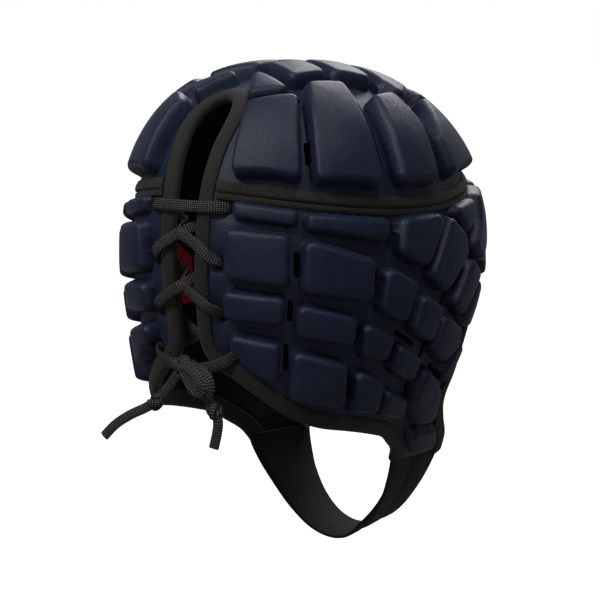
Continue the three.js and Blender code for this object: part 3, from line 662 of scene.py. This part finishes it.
for scale, detail in ((900, 3), (130, 3), (38, 2)):
    noise = knit_effect.nodes.new("ShaderNodeTexNoise")
    noise.inputs["Scale"].default_value = scale
    noise.inputs["Detail"].default_value = detail
    knit_effect.links.new(body.outputs["Object"], noise.inputs["Vector"])
    noise_layers.append(noise.outputs["Fac"])
speckle, mottle, cloud = noise_layers
fine = maths(knit_effect, "MULTIPLY_ADD", stitches, 0.2, maths(knit_effect, "MULTIPLY", speckle, 0.9))
fine = maths(knit_effect, "MULTIPLY", fine, entry.outputs["Grain"])
broad = maths(knit_effect, "MULTIPLY_ADD", mottle, 0.9, maths(knit_effect, "MULTIPLY", cloud, 2.2))
broad = maths(knit_effect, "MULTIPLY", broad, entry.outputs["Wave"])
knit_effect.links.new(maths(knit_effect, "ADD", fine, broad), leave.inputs["Height"])
tone = maths(knit_effect, "MULTIPLY_ADD", mottle, 0.5, maths(knit_effect, "MULTIPLY", cloud, 0.5))
knit_effect.links.new(tone, leave.inputs["Tone"])


def cloth_material(name, dark, light, rough, sheen, sheen_rough, grain, wave, bump_depth):
    """A close knitted cloth: a mottled colour between two tones, and a fine grain."""
    cloth = bpy.data.materials.new(name)
    cloth.use_nodes = True
    tree = cloth.node_tree
    shader = tree.nodes["Principled BSDF"]
    shader.inputs["Roughness"].default_value = rough
    shader.inputs["Specular IOR Level"].default_value = 0.3
    shader.inputs["Sheen Weight"].default_value = sheen
    shader.inputs["Sheen Roughness"].default_value = sheen_rough
    knit = tree.nodes.new("ShaderNodeGroup")
    knit.node_tree = knit_effect
    knit.inputs["Grain"].default_value = grain
    knit.inputs["Wave"].default_value = wave
    shades = tree.nodes.new("ShaderNodeValToRGB")
    shades.color_ramp.elements[0].position = 0.35
    shades.color_ramp.elements[0].color = (*dark, 1)
    shades.color_ramp.elements[1].position = 0.65
    shades.color_ramp.elements[1].color = (*light, 1)
    tree.links.new(knit.outputs["Tone"], shades.inputs["Fac"])
    tree.links.new(shades.outputs["Color"], shader.inputs["Base Color"])
    bump = tree.nodes.new("ShaderNodeBump")
    bump.inputs["Strength"].default_value = 0.6
    bump.inputs["Distance"].default_value = bump_depth
    tree.links.new(knit.outputs["Height"], bump.inputs["Height"])
    tree.links.new(bump.outputs["Normal"], shader.inputs["Normal"])
    return cloth


navy_cloth = cloth_material(
    "navy_cloth", dark=(0.0068, 0.0105, 0.030), light=(0.0105, 0.016, 0.042), rough=0.42,
    sheen=0.12, sheen_rough=0.35, grain=0.5, wave=1.0, bump_depth=0.0006,
)
navy_cloth.node_tree.nodes["Principled BSDF"].inputs["Sheen Tint"].default_value = (0.55, 0.62, 0.85, 1)
black_lining = cloth_material(
    "black_lining", dark=(0.003, 0.003, 0.003), light=(0.005, 0.005, 0.005), rough=0.9,
    sheen=0.0, sheen_rough=0.5, grain=1.0, wave=0.3, bump_depth=0.0003,
)


def finish_panel(piece, solid):
    piece.data.materials.append(navy_cloth)
    piece.data.materials.append(black_lining)
    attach(piece, "root")
    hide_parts(solid)


finish_panel(crown, "crown_panel")


# The sides: two mirrored pieces of the same foam and cloth, from the slit at the back round under
# the ear to a joint in the middle of the brow, each with its pads, vent slots and four lace holes.
side_pad_rise = 7.5
brow_joint = 179.7
hole_width = 8
hole_closing = 0.92
hole_dimple = (6.0, 1.5)
slit_foot_half_width = 7.2
lace_unit = 8.5
side_pads = [
    (0.65, [[20, 0.355], [41, 0.31], [40, 0.25], [21, 0.29]]),
    (0.85, [[44, 0.3], [70, 0.255], [69, 0.16], [44, 0.23]]),
    (1, [[75, 0.26], [94, 0.265], [84, 0.02], [73, 0.1]]),
    (1, [[19, 0.23], [38, 0.2], [38, -0.04], [17.5, 0]]),
    (1, [[43, 0.18], [64, 0.07], [63, -0.12], [42, -0.07]]),
    (0.9, [[69, 0.03], [80, -0.06], [76.5, -0.25], [66, -0.17]]),
    (0.9, [[17.5, -0.07], [37, -0.1], [35.5, -0.23], [17, -0.2]]),
    (0.9, [[41, -0.13], [58.5, -0.21], [58, -0.34], [40, -0.29]]),
    (0.85, [[61.5, -0.24], [72.5, -0.32], [70.5, -0.43], [61, -0.4]]),
    (0.95, [[83, -0.12], [93, -0.2], [90, -0.37], [79.5, -0.29]]),
    (0.85, [[75.5, -0.36], [86, -0.45], [85, -0.56], [74.5, -0.5]]),
    (1, [[18.5, -0.28], [35, -0.33], [34.5, -0.53], [26, -0.455], [19, -0.36]]),
    (1, [[39, -0.36], [56, -0.44], [57, -0.655], [39, -0.6]]),
    (0.95, [[60, -0.47], [70.5, -0.55], [70.5, -0.7], [60.5, -0.68]]),
    (0.85, [[74, -0.6], [85, -0.67], [85, -0.76], [74, -0.72]]),
    (0.95, [[97, 0.25], [105, 0.15], [106, 0.05], [94, -0.12], [86, -0.03]]),
    (0.8, [[101, 0.28], [119, 0.31], [117, 0.22], [108, 0.15]]),
    (1, [[123, 0.32], [138, 0.355], [137, 0.12], [119, -0.01], [112, 0.08], [120, 0.2]]),
    (0.95, [[110, 0.02], [119, -0.07], [105, -0.26], [99.5, -0.19]]),
    (0.8, [[120.5, -0.11], [124, -0.15], [113, -0.34], [107.5, -0.3]]),
    (0.9, [[95.5, -0.24], [107, -0.34], [106, -0.43], [100, -0.49], [92, -0.42]]),
    (0.75, [[109, -0.39], [111.5, -0.46], [106, -0.62], [101.5, -0.56]]),
    (0.95, [[91, -0.5], [102.5, -0.65], [105, -0.82], [97, -0.82], [88.5, -0.67]]),
    (0.8, [[95, -0.87], [109, -0.88], [114, -1], [104, -1]]),
    (1, [[142, 0.36], [157, 0.385], [156, 0.14], [141, 0.12]]),
    (1, [[161, 0.39], [176.5, 0.4], [176.5, 0.15], [160, 0.14]]),
    (0.9, [[123.5, -0.03], [134, 0.06], [132.5, -0.08], [127.5, -0.09]]),
    (0.9, [[138, 0.07], [156, 0.1], [155, -0.08], [136, -0.08]]),
    (0.9, [[160, 0.1], [176.5, 0.11], [176.5, -0.08], [159, -0.08]]),
]
side_vents = [
    [[40.7, 0.11], [40.5, 0.01]],
    [[38.3, -0.13], [38, -0.21]],
    [[36.8, -0.35], [36.7, -0.46]],
    [[72, 0.23], [71, 0.14]],
    [[66.3, 0.01], [65, -0.07]],
    [[59.8, -0.26], [59.5, -0.33]],
    [[58.2, -0.5], [58.8, -0.6]],
    [[75.5, -0.31], [84, -0.385]],
    [[74, -0.37], [72.7, -0.45]],
    [[72.4, -0.58], [72.2, -0.66]],
    [[91, -0.38], [89, -0.5]],
    [[87, -0.58], [86.8, -0.66]],
    [[97, -0.525], [102, -0.6]],
    [[98, -0.13], [96, -0.21]],
    [[108, 0.11], [109.5, 0.05]],
    [[139.5, 0.3], [139, 0.17]],
    [[158.8, 0.32], [158, 0.19]],
]
lace_holes = [[2.85, 0.33], [2.5, 0.06], [2.45, -0.2], [2.95, -0.4]]
slit_foot_height = -0.3 * hang
to_side = np.array([side_rate, hang])


def slit_half_at(z):
    up = (z - slit_foot_height) / (seam_height(0.0) - slit_foot_height)
    return slit_foot_half_width + (slit_half_width - slit_foot_half_width) * np.clip(up, 0, 1)


neck_edge = [
    [float(turn_at(slit_foot_half_width, slit_foot_height)), -0.3],
    [5.9, -0.37], [8.5, -0.43], [12.5, -0.475], [18, -0.515], [25, -0.575], [36, -0.675], [43, -0.725],
    [51, -0.765], [63, -0.8], [76, -0.845], [84, -0.88], [91, -0.94], [96, -1], [98, -1.06],
]
face_edge = [
    [123.5, -1.06], [122, -0.97], [116.5, -0.86], [113, -0.77], [112.5, -0.7], [115, -0.6],
    [118, -0.47], [123, -0.36], [129, -0.27], [136, -0.21], [146, -0.18], [162, -0.17], [brow_joint, -0.17],
]
neck_line = smooth_line(np.array(neck_edge) * to_side, 90)
face_line = smooth_line(np.array(face_edge) * to_side, 100)
seam_places = np.linspace(brow_joint, seam_start, 120)
seam_line = np.stack([seam_places * side_rate, seam_height(seam_places) - seam_gap], 1)
slit_heights = np.linspace(seam_height(0.0), slit_foot_height, 30)
slit_line = np.stack([turn_at(slit_half_at(slit_heights), slit_heights) * side_rate, slit_heights], 1)
side_outline = np.vstack([seam_line, slit_line[1:-1], neck_line, face_line])


def side_place(u, v):
    return side_point(u / side_rate, v)


hole_places = []
for aside, share in lace_holes:
    hole_places.append([float(turn_at(aside * lace_unit, share * hang)) * side_rate, share * hang])
swing = np.linspace(0, 2 * np.pi, 25)[:-1]
side_cuts = [capsule(np.array(a) * to_side, np.array(b) * to_side, vent_width) for a, b in side_vents]
for centre in hole_places:
    ring = hole_width / 2 * hole_closing * np.stack([np.cos(swing), np.sin(swing)], 1)
    side_cuts.append(np.array(centre) + ring)
side_pieces = [(share, np.array(corners) * to_side) for share, corners in side_pads]
side_right = moulded_panel(
    "side_right", side_outline, side_pieces, side_pad_rise, side_cuts, side_place,
    dimples=[(np.array(centre), *hole_dimple) for centre in hole_places],
)


def mirrored(piece, name):
    """The same piece for the wearer's other side, with a mesh of its own."""
    bpy.ops.object.select_all(action="DESELECT")
    piece.select_set(True)
    bpy.context.view_layer.objects.active = piece
    bpy.ops.object.duplicate()
    other = bpy.context.active_object
    other.name = other.data.name = name
    bpy.ops.object.mode_set(mode="EDIT")
    bpy.ops.mesh.select_all(action="SELECT")
    bpy.ops.transform.resize(value=(-1, 1, 1), center_override=(0, 0, 0))
    bpy.ops.mesh.flip_normals()
    bpy.ops.object.mode_set(mode="OBJECT")
    return other


side_left = mirrored(side_right, "side_left")
finish_panel(side_right, "side_panel_right")
finish_panel(side_left, "side_panel_left")


# The side shade sheets: a thin black sheet laid inside each side behind the vent slots, as painted shade
# that makes the slots look black from outside. It ends short of the panel's edges and leaves the lace holes
# open.
shade_sheet_inset = 9
shade_sheet_rise = -4.15
shade_sheet_thickness = 0.5


def shade_sheet_place(u, v):
    points = side_place(u, v)
    return lifted(points, np.full(len(points), shade_sheet_rise))


# Painted shade: a black sheet behind the vent slots that makes them look dark from outside.
shade_sheet_right = moulded_panel(
    "painted_shade_sheet_right", inset(side_outline, shade_sheet_inset), [], 0, side_cuts[len(side_vents):], shade_sheet_place,
    pitch=1.6, inner=-shade_sheet_thickness, pinch=0,
)
shade_sheet_right.data.materials.append(black_lining)
shade_sheet_right.data.polygons.foreach_set("material_index", [0] * len(shade_sheet_right.data.polygons))
shade_sheet_left = mirrored(shade_sheet_right, "painted_shade_sheet_left")
for lining in (shade_sheet_right, shade_sheet_left):
    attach(lining, "root")


# The seam tape covers the joint of crown and sides all the way round. It is a black twill, folded
# lengthwise to a low ridge, with its edges stitched down.
def twill_material(name, dark, light, ribs, lean, picks, bump_depth):
    """A ribbed woven tape: slanting ribs along its length."""
    tape = bpy.data.materials.new(name)
    tape.use_nodes = True
    tree = tape.node_tree
    shader = tree.nodes["Principled BSDF"]
    shader.inputs["Roughness"].default_value = 0.75
    shader.inputs["Specular IOR Level"].default_value = 0.3
    shader.inputs["Sheen Weight"].default_value = 0.08
    where = tree.nodes.new("ShaderNodeUVMap")
    where.uv_map = "UVMap"
    parts = tree.nodes.new("ShaderNodeSeparateXYZ")
    tree.links.new(where.outputs["UV"], parts.inputs["Vector"])
    crosswise = maths(tree, "MULTIPLY", parts.outputs["Y"], ribs)
    slant = maths(tree, "MULTIPLY_ADD", parts.outputs["X"], lean, crosswise)
    rib = maths(tree, "MULTIPLY_ADD", maths(tree, "SINE", slant), 0.5, 0.5)
    lengthwise = maths(tree, "MULTIPLY", parts.outputs["X"], picks)
    pick = maths(tree, "MULTIPLY_ADD", maths(tree, "SINE", lengthwise), 0.5, 0.5)
    noise = tree.nodes.new("ShaderNodeTexNoise")
    noise.inputs["Scale"].default_value = 900
    noise.inputs["Detail"].default_value = 3
    body = tree.nodes.new("ShaderNodeTexCoord")
    tree.links.new(body.outputs["Object"], noise.inputs["Vector"])
    weave = maths(tree, "MULTIPLY_ADD", pick, 0.25, maths(tree, "MULTIPLY", rib, 0.6))
    weave = maths(tree, "MULTIPLY_ADD", noise.outputs["Fac"], 0.4, weave)
    shades = tree.nodes.new("ShaderNodeValToRGB")
    shades.color_ramp.elements[0].position = 0.25
    shades.color_ramp.elements[0].color = (*dark, 1)
    shades.color_ramp.elements[1].position = 0.95
    shades.color_ramp.elements[1].color = (*light, 1)
    tree.links.new(weave, shades.inputs["Fac"])
    tree.links.new(shades.outputs["Color"], shader.inputs["Base Color"])
    bump = tree.nodes.new("ShaderNodeBump")
    bump.inputs["Strength"].default_value = 0.8
    bump.inputs["Distance"].default_value = bump_depth
    tree.links.new(weave, bump.inputs["Height"])
    tree.links.new(bump.outputs["Normal"], shader.inputs["Normal"])
    return tape


black_tape = twill_material(
    "black_tape", dark=(0.0025, 0.0025, 0.002), light=(0.024, 0.0235, 0.019),
    ribs=4.2, lean=2.4, picks=6.5, bump_depth=0.0005,
)


def carried_strip(name, stations, section):
    """A strip whose section is carried along places of the form: across it and away from it."""
    stations = np.asarray(stations, float)
    ahead = along(stations)
    across = unit(np.cross(normal_at(stations), ahead))
    rings = []
    for x, y in section:
        foot = on_form(stations + across * x)
        rings.append(lifted(foot, np.full(len(foot), float(y))))
    return woven_strip(name, np.stack(rings, 1))


def finish_tape(piece, solid):
    piece.data.materials.append(black_tape)
    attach(piece, "root")
    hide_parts(solid)


seam_tape_section = [
    [-4.7, 0.15], [-4.8, 0.6], [-4.5, 1.0], [-3.2, 1.25], [-2.1, 1.2], [-1.7, 0.6], [-1.3, 0.6], [-0.9, 1.5],
    [0, 1.9], [1.4, 1.95], [3, 1.6], [4.4, 1.1], [4.8, 0.6], [4.7, 0.15], [2, 0.3], [0, 0.3], [-2, 0.3],
]
tape_end_gap = 9.0
tape_start = float(turn_at(slit_half_width + tape_end_gap, seam_height(0.0)))
tape_turns = np.linspace(tape_start, 360 - tape_start, 300)
tape_places = side_point(tape_turns, seam_height(tape_turns))
seam_tape = carried_strip("seam_tape_cloth", tape_places, seam_tape_section)
finish_tape(seam_tape, "seam_tape")


# The bindings: the same twill folded round every free edge of the panels, at the slit, the neck
# and the face, and sewn through. It covers 7.4 mm outside and inside, with a round soft edge.
binding_section = [
    [-7.3, 0.2], [-7.4, 0.7], [-7.2, 1.1], [-6.5, 1.4], [-5, 1.6], [-3, 1.6], [-1, 1.4], [0.3, 1.0],
    [1.0, 0.3], [1.3, -0.7], [1.2, -2.0], [0.8, -3.1], [-0.2, -3.9], [-2, -4.6], [-4.5, -5.3], [-6.4, -5.8],
    [-7.2, -5.6], [-7.4, -5.1], [-7.3, -4.5], [-4, -3.9], [-1, -3.1], [0.1, -2.7], [0.35, -2.2], [0.35, -0.3],
    [0.1, 0.3], [-4, 0.3],
]
flare_end = 36.0
neck_run = np.cumsum(np.linalg.norm(np.diff(neck_line, axis=0), axis=1))
flare = neck_line[np.concatenate([[True], neck_run < flare_end])]
flare_side = side_point(flare[::-1, 0] / side_rate, flare[::-1, 1])
straight_side = side_point(turn_at(slit_half_at(slit_heights), slit_heights), slit_heights)[::-1][1:-1]
arch_line = crown_point(arch[:, 0], arch_turn(arch[:, 0], arch[:, 1]))
half_slit = np.vstack([flare_side, straight_side, arch_line])
slit_path = np.vstack([half_slit, (half_slit * [-1, 1, 1])[-2::-1]])
slit_path = smooth_line(slit_path, 260)
slit_tape = carried_strip("slit_binding_cloth", slit_path, binding_section)
finish_tape(slit_tape, "slit_binding")

neck_rest = neck_line[len(flare) - 1:]
for hand, side in ((1, "right"), (-1, "left")):
    path = side_point(neck_rest[:, 0] / side_rate, neck_rest[:, 1])
    path = smooth_line(path, 110)
    path = path * [hand, 1, 1]
    if hand > 0:
        path = path[::-1]
    neck_tape = carried_strip(f"neck_binding_cloth_{side}", path, binding_section)
    finish_tape(neck_tape, f"neck_binding_{side}")

face_half = side_point(-face_line[:, 0] / side_rate, face_line[:, 1])
face_path = smooth_line(np.vstack([face_half, (face_half * [-1, 1, 1])[::-1]]), 260)
face_tape = carried_strip("face_binding_cloth", face_path, binding_section)
finish_tape(face_tape, "face_binding")


# The lace: one flat braid that closes the slit from hole to hole. It lies over the tape outside,
# dives through each hole, and crosses itself in the slit. Its free part is the bow above.
binding_wall = 1.2
lace_half = 1.2
lace_flatness = 1.9
lace_lap = 1.3
over = 0.5 + binding_wall + lace_half + 0.7
under = -panel_thickness - 1 - binding_wall - lace_half - 0.9
lace_rows = [
    [1.3, 0.33, over], [2.2, 0.33, over - 0.2], [2.95, 0.328, -2], [2.3, 0.305, under],
    [1.4, 0.275, under], [0.8, 0.25, under - 0.1], [0.42, 0.23, -2.3], [0, 0.205, over - 0.6],
    [-0.8, 0.17, over], [-1.3, 0.145, over + 0.4], [-1.95, 0.1, over + 0.4], [-2.6, 0.058, -2],
    [-2, 0.03, under], [-1.4, 0.005, under], [-0.8, -0.015, under - 0.1], [-0.42, -0.035, -2.3],
    [0, -0.06, over - 0.6], [0.8, -0.095, over], [1.3, -0.12, over + 0.4], [1.9, -0.155, over + 0.4],
    [2.55, -0.2, -2], [1.95, -0.24, under], [0.7, -0.3, under], [-0.7, -0.355, under],
    [-2.3, -0.39, under], [-2.95, -0.4, -2], [-2.6, -0.42, over], [-1.9, -0.447, over + 0.6],
    [-0.85, -0.465, over + 2],
]


def back_point(aside, share, rise):
    z = np.asarray(share, float) * hang
    side = np.asarray(aside, float) * lace_unit
    turn = -np.sign(side) * turn_at(np.abs(side), z)
    return lifted(side_point(turn, z), np.asarray(rise, float))


halves = []
for hand in (1, -1):
    rows = np.array(lace_rows)
    lap = hand * lace_lap * np.exp(-rows[:, 0] ** 2)
    halves.append(back_point(hand * rows[:, 0], rows[:, 1], rows[:, 2] + lap))
top_bar = back_point(np.array([0.0]), np.array([0.33]), np.array([over]))
lace_line = smooth_line(np.vstack([halves[0][::-1], top_bar, halves[1]]), 620)
lace_ahead = along(lace_line)
outward = normal_at(lace_line)

# The braid lies flat where it runs along the form, and turns as little as it can through the holes.
free_turn = 0.45
width_way = np.cross(outward, lace_ahead)
flatness = np.linalg.norm(width_way, axis=1)
width_way = unit(width_way)
carried = width_way.copy()
for k in range(1, len(carried)):
    before = carried[k - 1] - lace_ahead[k] * (carried[k - 1] @ lace_ahead[k])
    before /= np.linalg.norm(before)
    wanted = width_way[k] * (1 if width_way[k] @ before > 0 else -1)
    pull = max(flatness[k] - free_turn, 0) * 0.5
    mixed = before * (1 - pull) + wanted * pull
    carried[k] = mixed / np.linalg.norm(mixed)
soft = np.array([np.convolve(carried[:, k], np.ones(9) / 9, mode="same") for k in range(3)]).T
soft[:5], soft[-5:] = carried[:5], carried[-5:]
soft = unit(soft - lace_ahead * (soft * lace_ahead).sum(1, keepdims=True))
lace_out = np.cross(lace_ahead, soft)
lace_outline = oval(lace_width, lace_flatness)
lace_piece = woven_strip("lace_braid", carried_rings(lace_line, soft, lace_out, lace_outline))
finish_lace(lace_piece, "lace")


# The label: a plain piece of red cloth, sewn flat on the lining inside the left side, where it is
# seen through the slit. It is a little under a millimetre thick.
label_rise = -5.0
label_thickness = 0.8
label_corners = np.array([[77, 0.07], [87, -0.05], [87.5, -0.3], [79, -0.3], [80.5, -0.1], [76.5, -0.01]])
label_outline = label_corners * [-side_rate, hang]


def label_place(u, v):
    points = side_place(u, v)
    return lifted(points, np.full(len(points), label_rise))


label = moulded_panel(
    "label_cloth", label_outline, [], 0, [], label_place, pitch=1.2, inner=-label_thickness, pinch=0,
)
label_red = cloth_material(
    "label_red", dark=(0.8, 0.004, 0.04), light=(0.9, 0.006, 0.05), rough=0.7,
    sheen=0.2, sheen_rough=0.5, grain=1.0, wave=0.4, bump_depth=0.0003,
)
label.data.materials.append(label_red)
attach(label, "root")
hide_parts("inner_label")


# The chin strap: a soft brushed strap sewn into the left cheek, which narrows to 27 mm under the
# chin and slips beneath a short matching tab on the right, where the two fasten by touch.
strap_thickness = 1.8
strap_depth = 0.9
strap_drop = 51
strap_chin_width = 27
strap_chin_tilt = 4
root_flare = 3
flare_from = 0.7
strap_rows = [
    [1, -0.07, 1], [1, 0, 1], [0.93, 0.2, 0.8], [0.8, 0.45, 0.5], [0.58, 0.73, 0.25],
    [0.3, 0.93, 0.08], [0, 1, 0],
]
strap_section = [
    (0.0, 0.5), (0.008, 0.8), (0.03, 1.0), (0.12, 1.05), (0.3, 1.05), (0.4, 0.9), (0.46, 0.5), (0.52, 0.9),
    (0.65, 1.1), (0.88, 1.05), (0.97, 1.0), (0.992, 0.8), (1.0, 0.5), (0.992, 0.2), (0.97, 0.0), (0.5, 0.0),
    (0.03, 0.0), (0.008, 0.2),
]
tab_end = 0.67
cheek_rear = side_place(np.array([-neck_line[-1, 0]]), np.array([neck_line[-1, 1]]))[0]
cheek_front = side_place(np.array([-face_line[0, 0]]), np.array([face_line[0, 1]]))[0]
cheek_middle = (cheek_rear + cheek_front) / 2
cheek_span = cheek_front - cheek_rear


def strap_edge(edge):
    """The strap's rear edge (-1) or front edge (1), from the left cheek round to the right."""
    rows = []
    flares = []
    for out, drop, width in strap_rows:
        flares.append((edge < 0) * root_flare * max(out - flare_from, 0) / (1 - flare_from))
        rows.append([
            cheek_middle[0] * out + edge * cheek_span[0] / 2 * out ** 2,
            cheek_middle[1] - edge * (strap_chin_width + (-cheek_span[1] - strap_chin_width) * width) / 2,
            cheek_middle[2] - strap_drop * drop - 0.4 + edge * strap_chin_tilt / 2 * drop,
        ])
    far = np.array(rows)
    near = far[:-1] * [-1, 1, 1]
    far[:, 1] += flares
    return smooth_line(np.vstack([far, near[::-1]]), 401)


strap_rear, strap_front = strap_edge(-1), strap_edge(1)
strap_black = cloth_material(
    "strap_black", dark=(0.0035, 0.0035, 0.0035), light=(0.007, 0.007, 0.0068), rough=0.8,
    sheen=0.10, sheen_rough=0.35, grain=1.6, wave=0.8, bump_depth=0.0004,
)


def strap_length(name, start, end, rise_at, inset_at, solid):
    """A length of the strap between two shares of the loop, with soft round edges."""
    count = int(300 * (end - start)) + 2
    shares = np.linspace(start, end, count)
    loop_shares = np.linspace(0, 1, len(strap_rear))
    rear = np.stack([np.interp(shares, loop_shares, strap_rear[:, k]) for k in range(3)], 1)
    front = np.stack([np.interp(shares, loop_shares, strap_front[:, k]) for k in range(3)], 1)
    out = unit(np.cross(front - rear, along(rear)))
    top = rise_at(shares)
    narrowing = (front - rear) * inset_at(shares)[:, None]
    rear, front = rear + narrowing, front - narrowing
    lines = []
    for across, height in strap_section:
        lines.append(rear + (front - rear) * across + out * (top - strap_thickness * (1 - height))[:, None])
    piece = woven_strip(name, np.stack(lines, 1))
    piece.data.materials.append(strap_black)
    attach(piece, "root")
    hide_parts(solid)


def ease(low, high, value):
    share = np.clip((value - low) / (high - low), 0, 1)
    return share * share * (3 - 2 * share)


strap_length(
    "strap_long", 0, 0.84, lambda share: -strap_depth - (strap_thickness + 0.2) * ease(0.55, tab_end, share),
    lambda share: 0.12 * ease(0.66, 0.82, share), "chin_strap_left",
)
strap_length(
    "strap_tab", tab_end, 1, lambda share: np.full(len(share), -strap_depth),
    lambda share: 0.02 * (1 - ease(tab_end, 0.7, share)), "chin_strap_right",
)


# The studio: a pale seamless floor well below the cap, which the camera alone sees glow, a white sky
# that lights the cap only a little, and four soft lamps placed round it.
bpy.ops.object.select_all(action="DESELECT")
bpy.ops.mesh.primitive_plane_add(size=60, location=(0, 0, -0.42))
floor = bpy.context.active_object
floor.name = "studio_floor"
pale = bpy.data.materials.new("studio_white")
pale.use_nodes = True
tree = pale.node_tree
pale_shader = tree.nodes["Principled BSDF"]
pale_shader.inputs["Base Color"].default_value = (0.2, 0.2, 0.2, 1)
pale_shader.inputs["Roughness"].default_value = 0.9
pale_shader.inputs["Emission Color"].default_value = (1, 1, 1, 1)
ray = tree.nodes.new("ShaderNodeLightPath")
tree.links.new(ray.outputs["Is Camera Ray"], pale_shader.inputs["Emission Strength"])
floor.data.materials.append(pale)

sky_light = 0.16
studio_sky = bpy.data.worlds.new("studio_sky")
studio_sky.use_nodes = True
studio_sky.node_tree.nodes["Background"].inputs["Color"].default_value = (1, 1, 1, 1)
ray = studio_sky.node_tree.nodes.new("ShaderNodeLightPath")
sky_glow = maths(studio_sky.node_tree, "MULTIPLY_ADD", ray.outputs["Is Camera Ray"], 1 - sky_light, sky_light)
studio_sky.node_tree.links.new(sky_glow, studio_sky.node_tree.nodes["Background"].inputs["Strength"])
bpy.context.scene.world = studio_sky
bpy.context.scene.view_settings.view_transform = "Standard"

for name, turn, rise, distance, size, power in (
    ("lamp_left", 172, 44, 1.5, 0.32, 10),
    ("lamp_top", 245, 64, 1.4, 0.35, 5),
    ("lamp_back", 215, 15, 1.8, 0.9, 2),
    ("lamp_front", 20, 40, 1.6, 0.8, 12),
):
    way = direction(turn, rise)
    bpy.ops.object.light_add(type="AREA", location=back_of_head + way * distance)
    lamp = bpy.context.active_object
    lamp.name = name
    lamp.data.size = size
    lamp.data.energy = power
    lamp.rotation_mode = "QUATERNION"
    lamp.rotation_quaternion = (-way).to_track_quat("-Z", "Y")
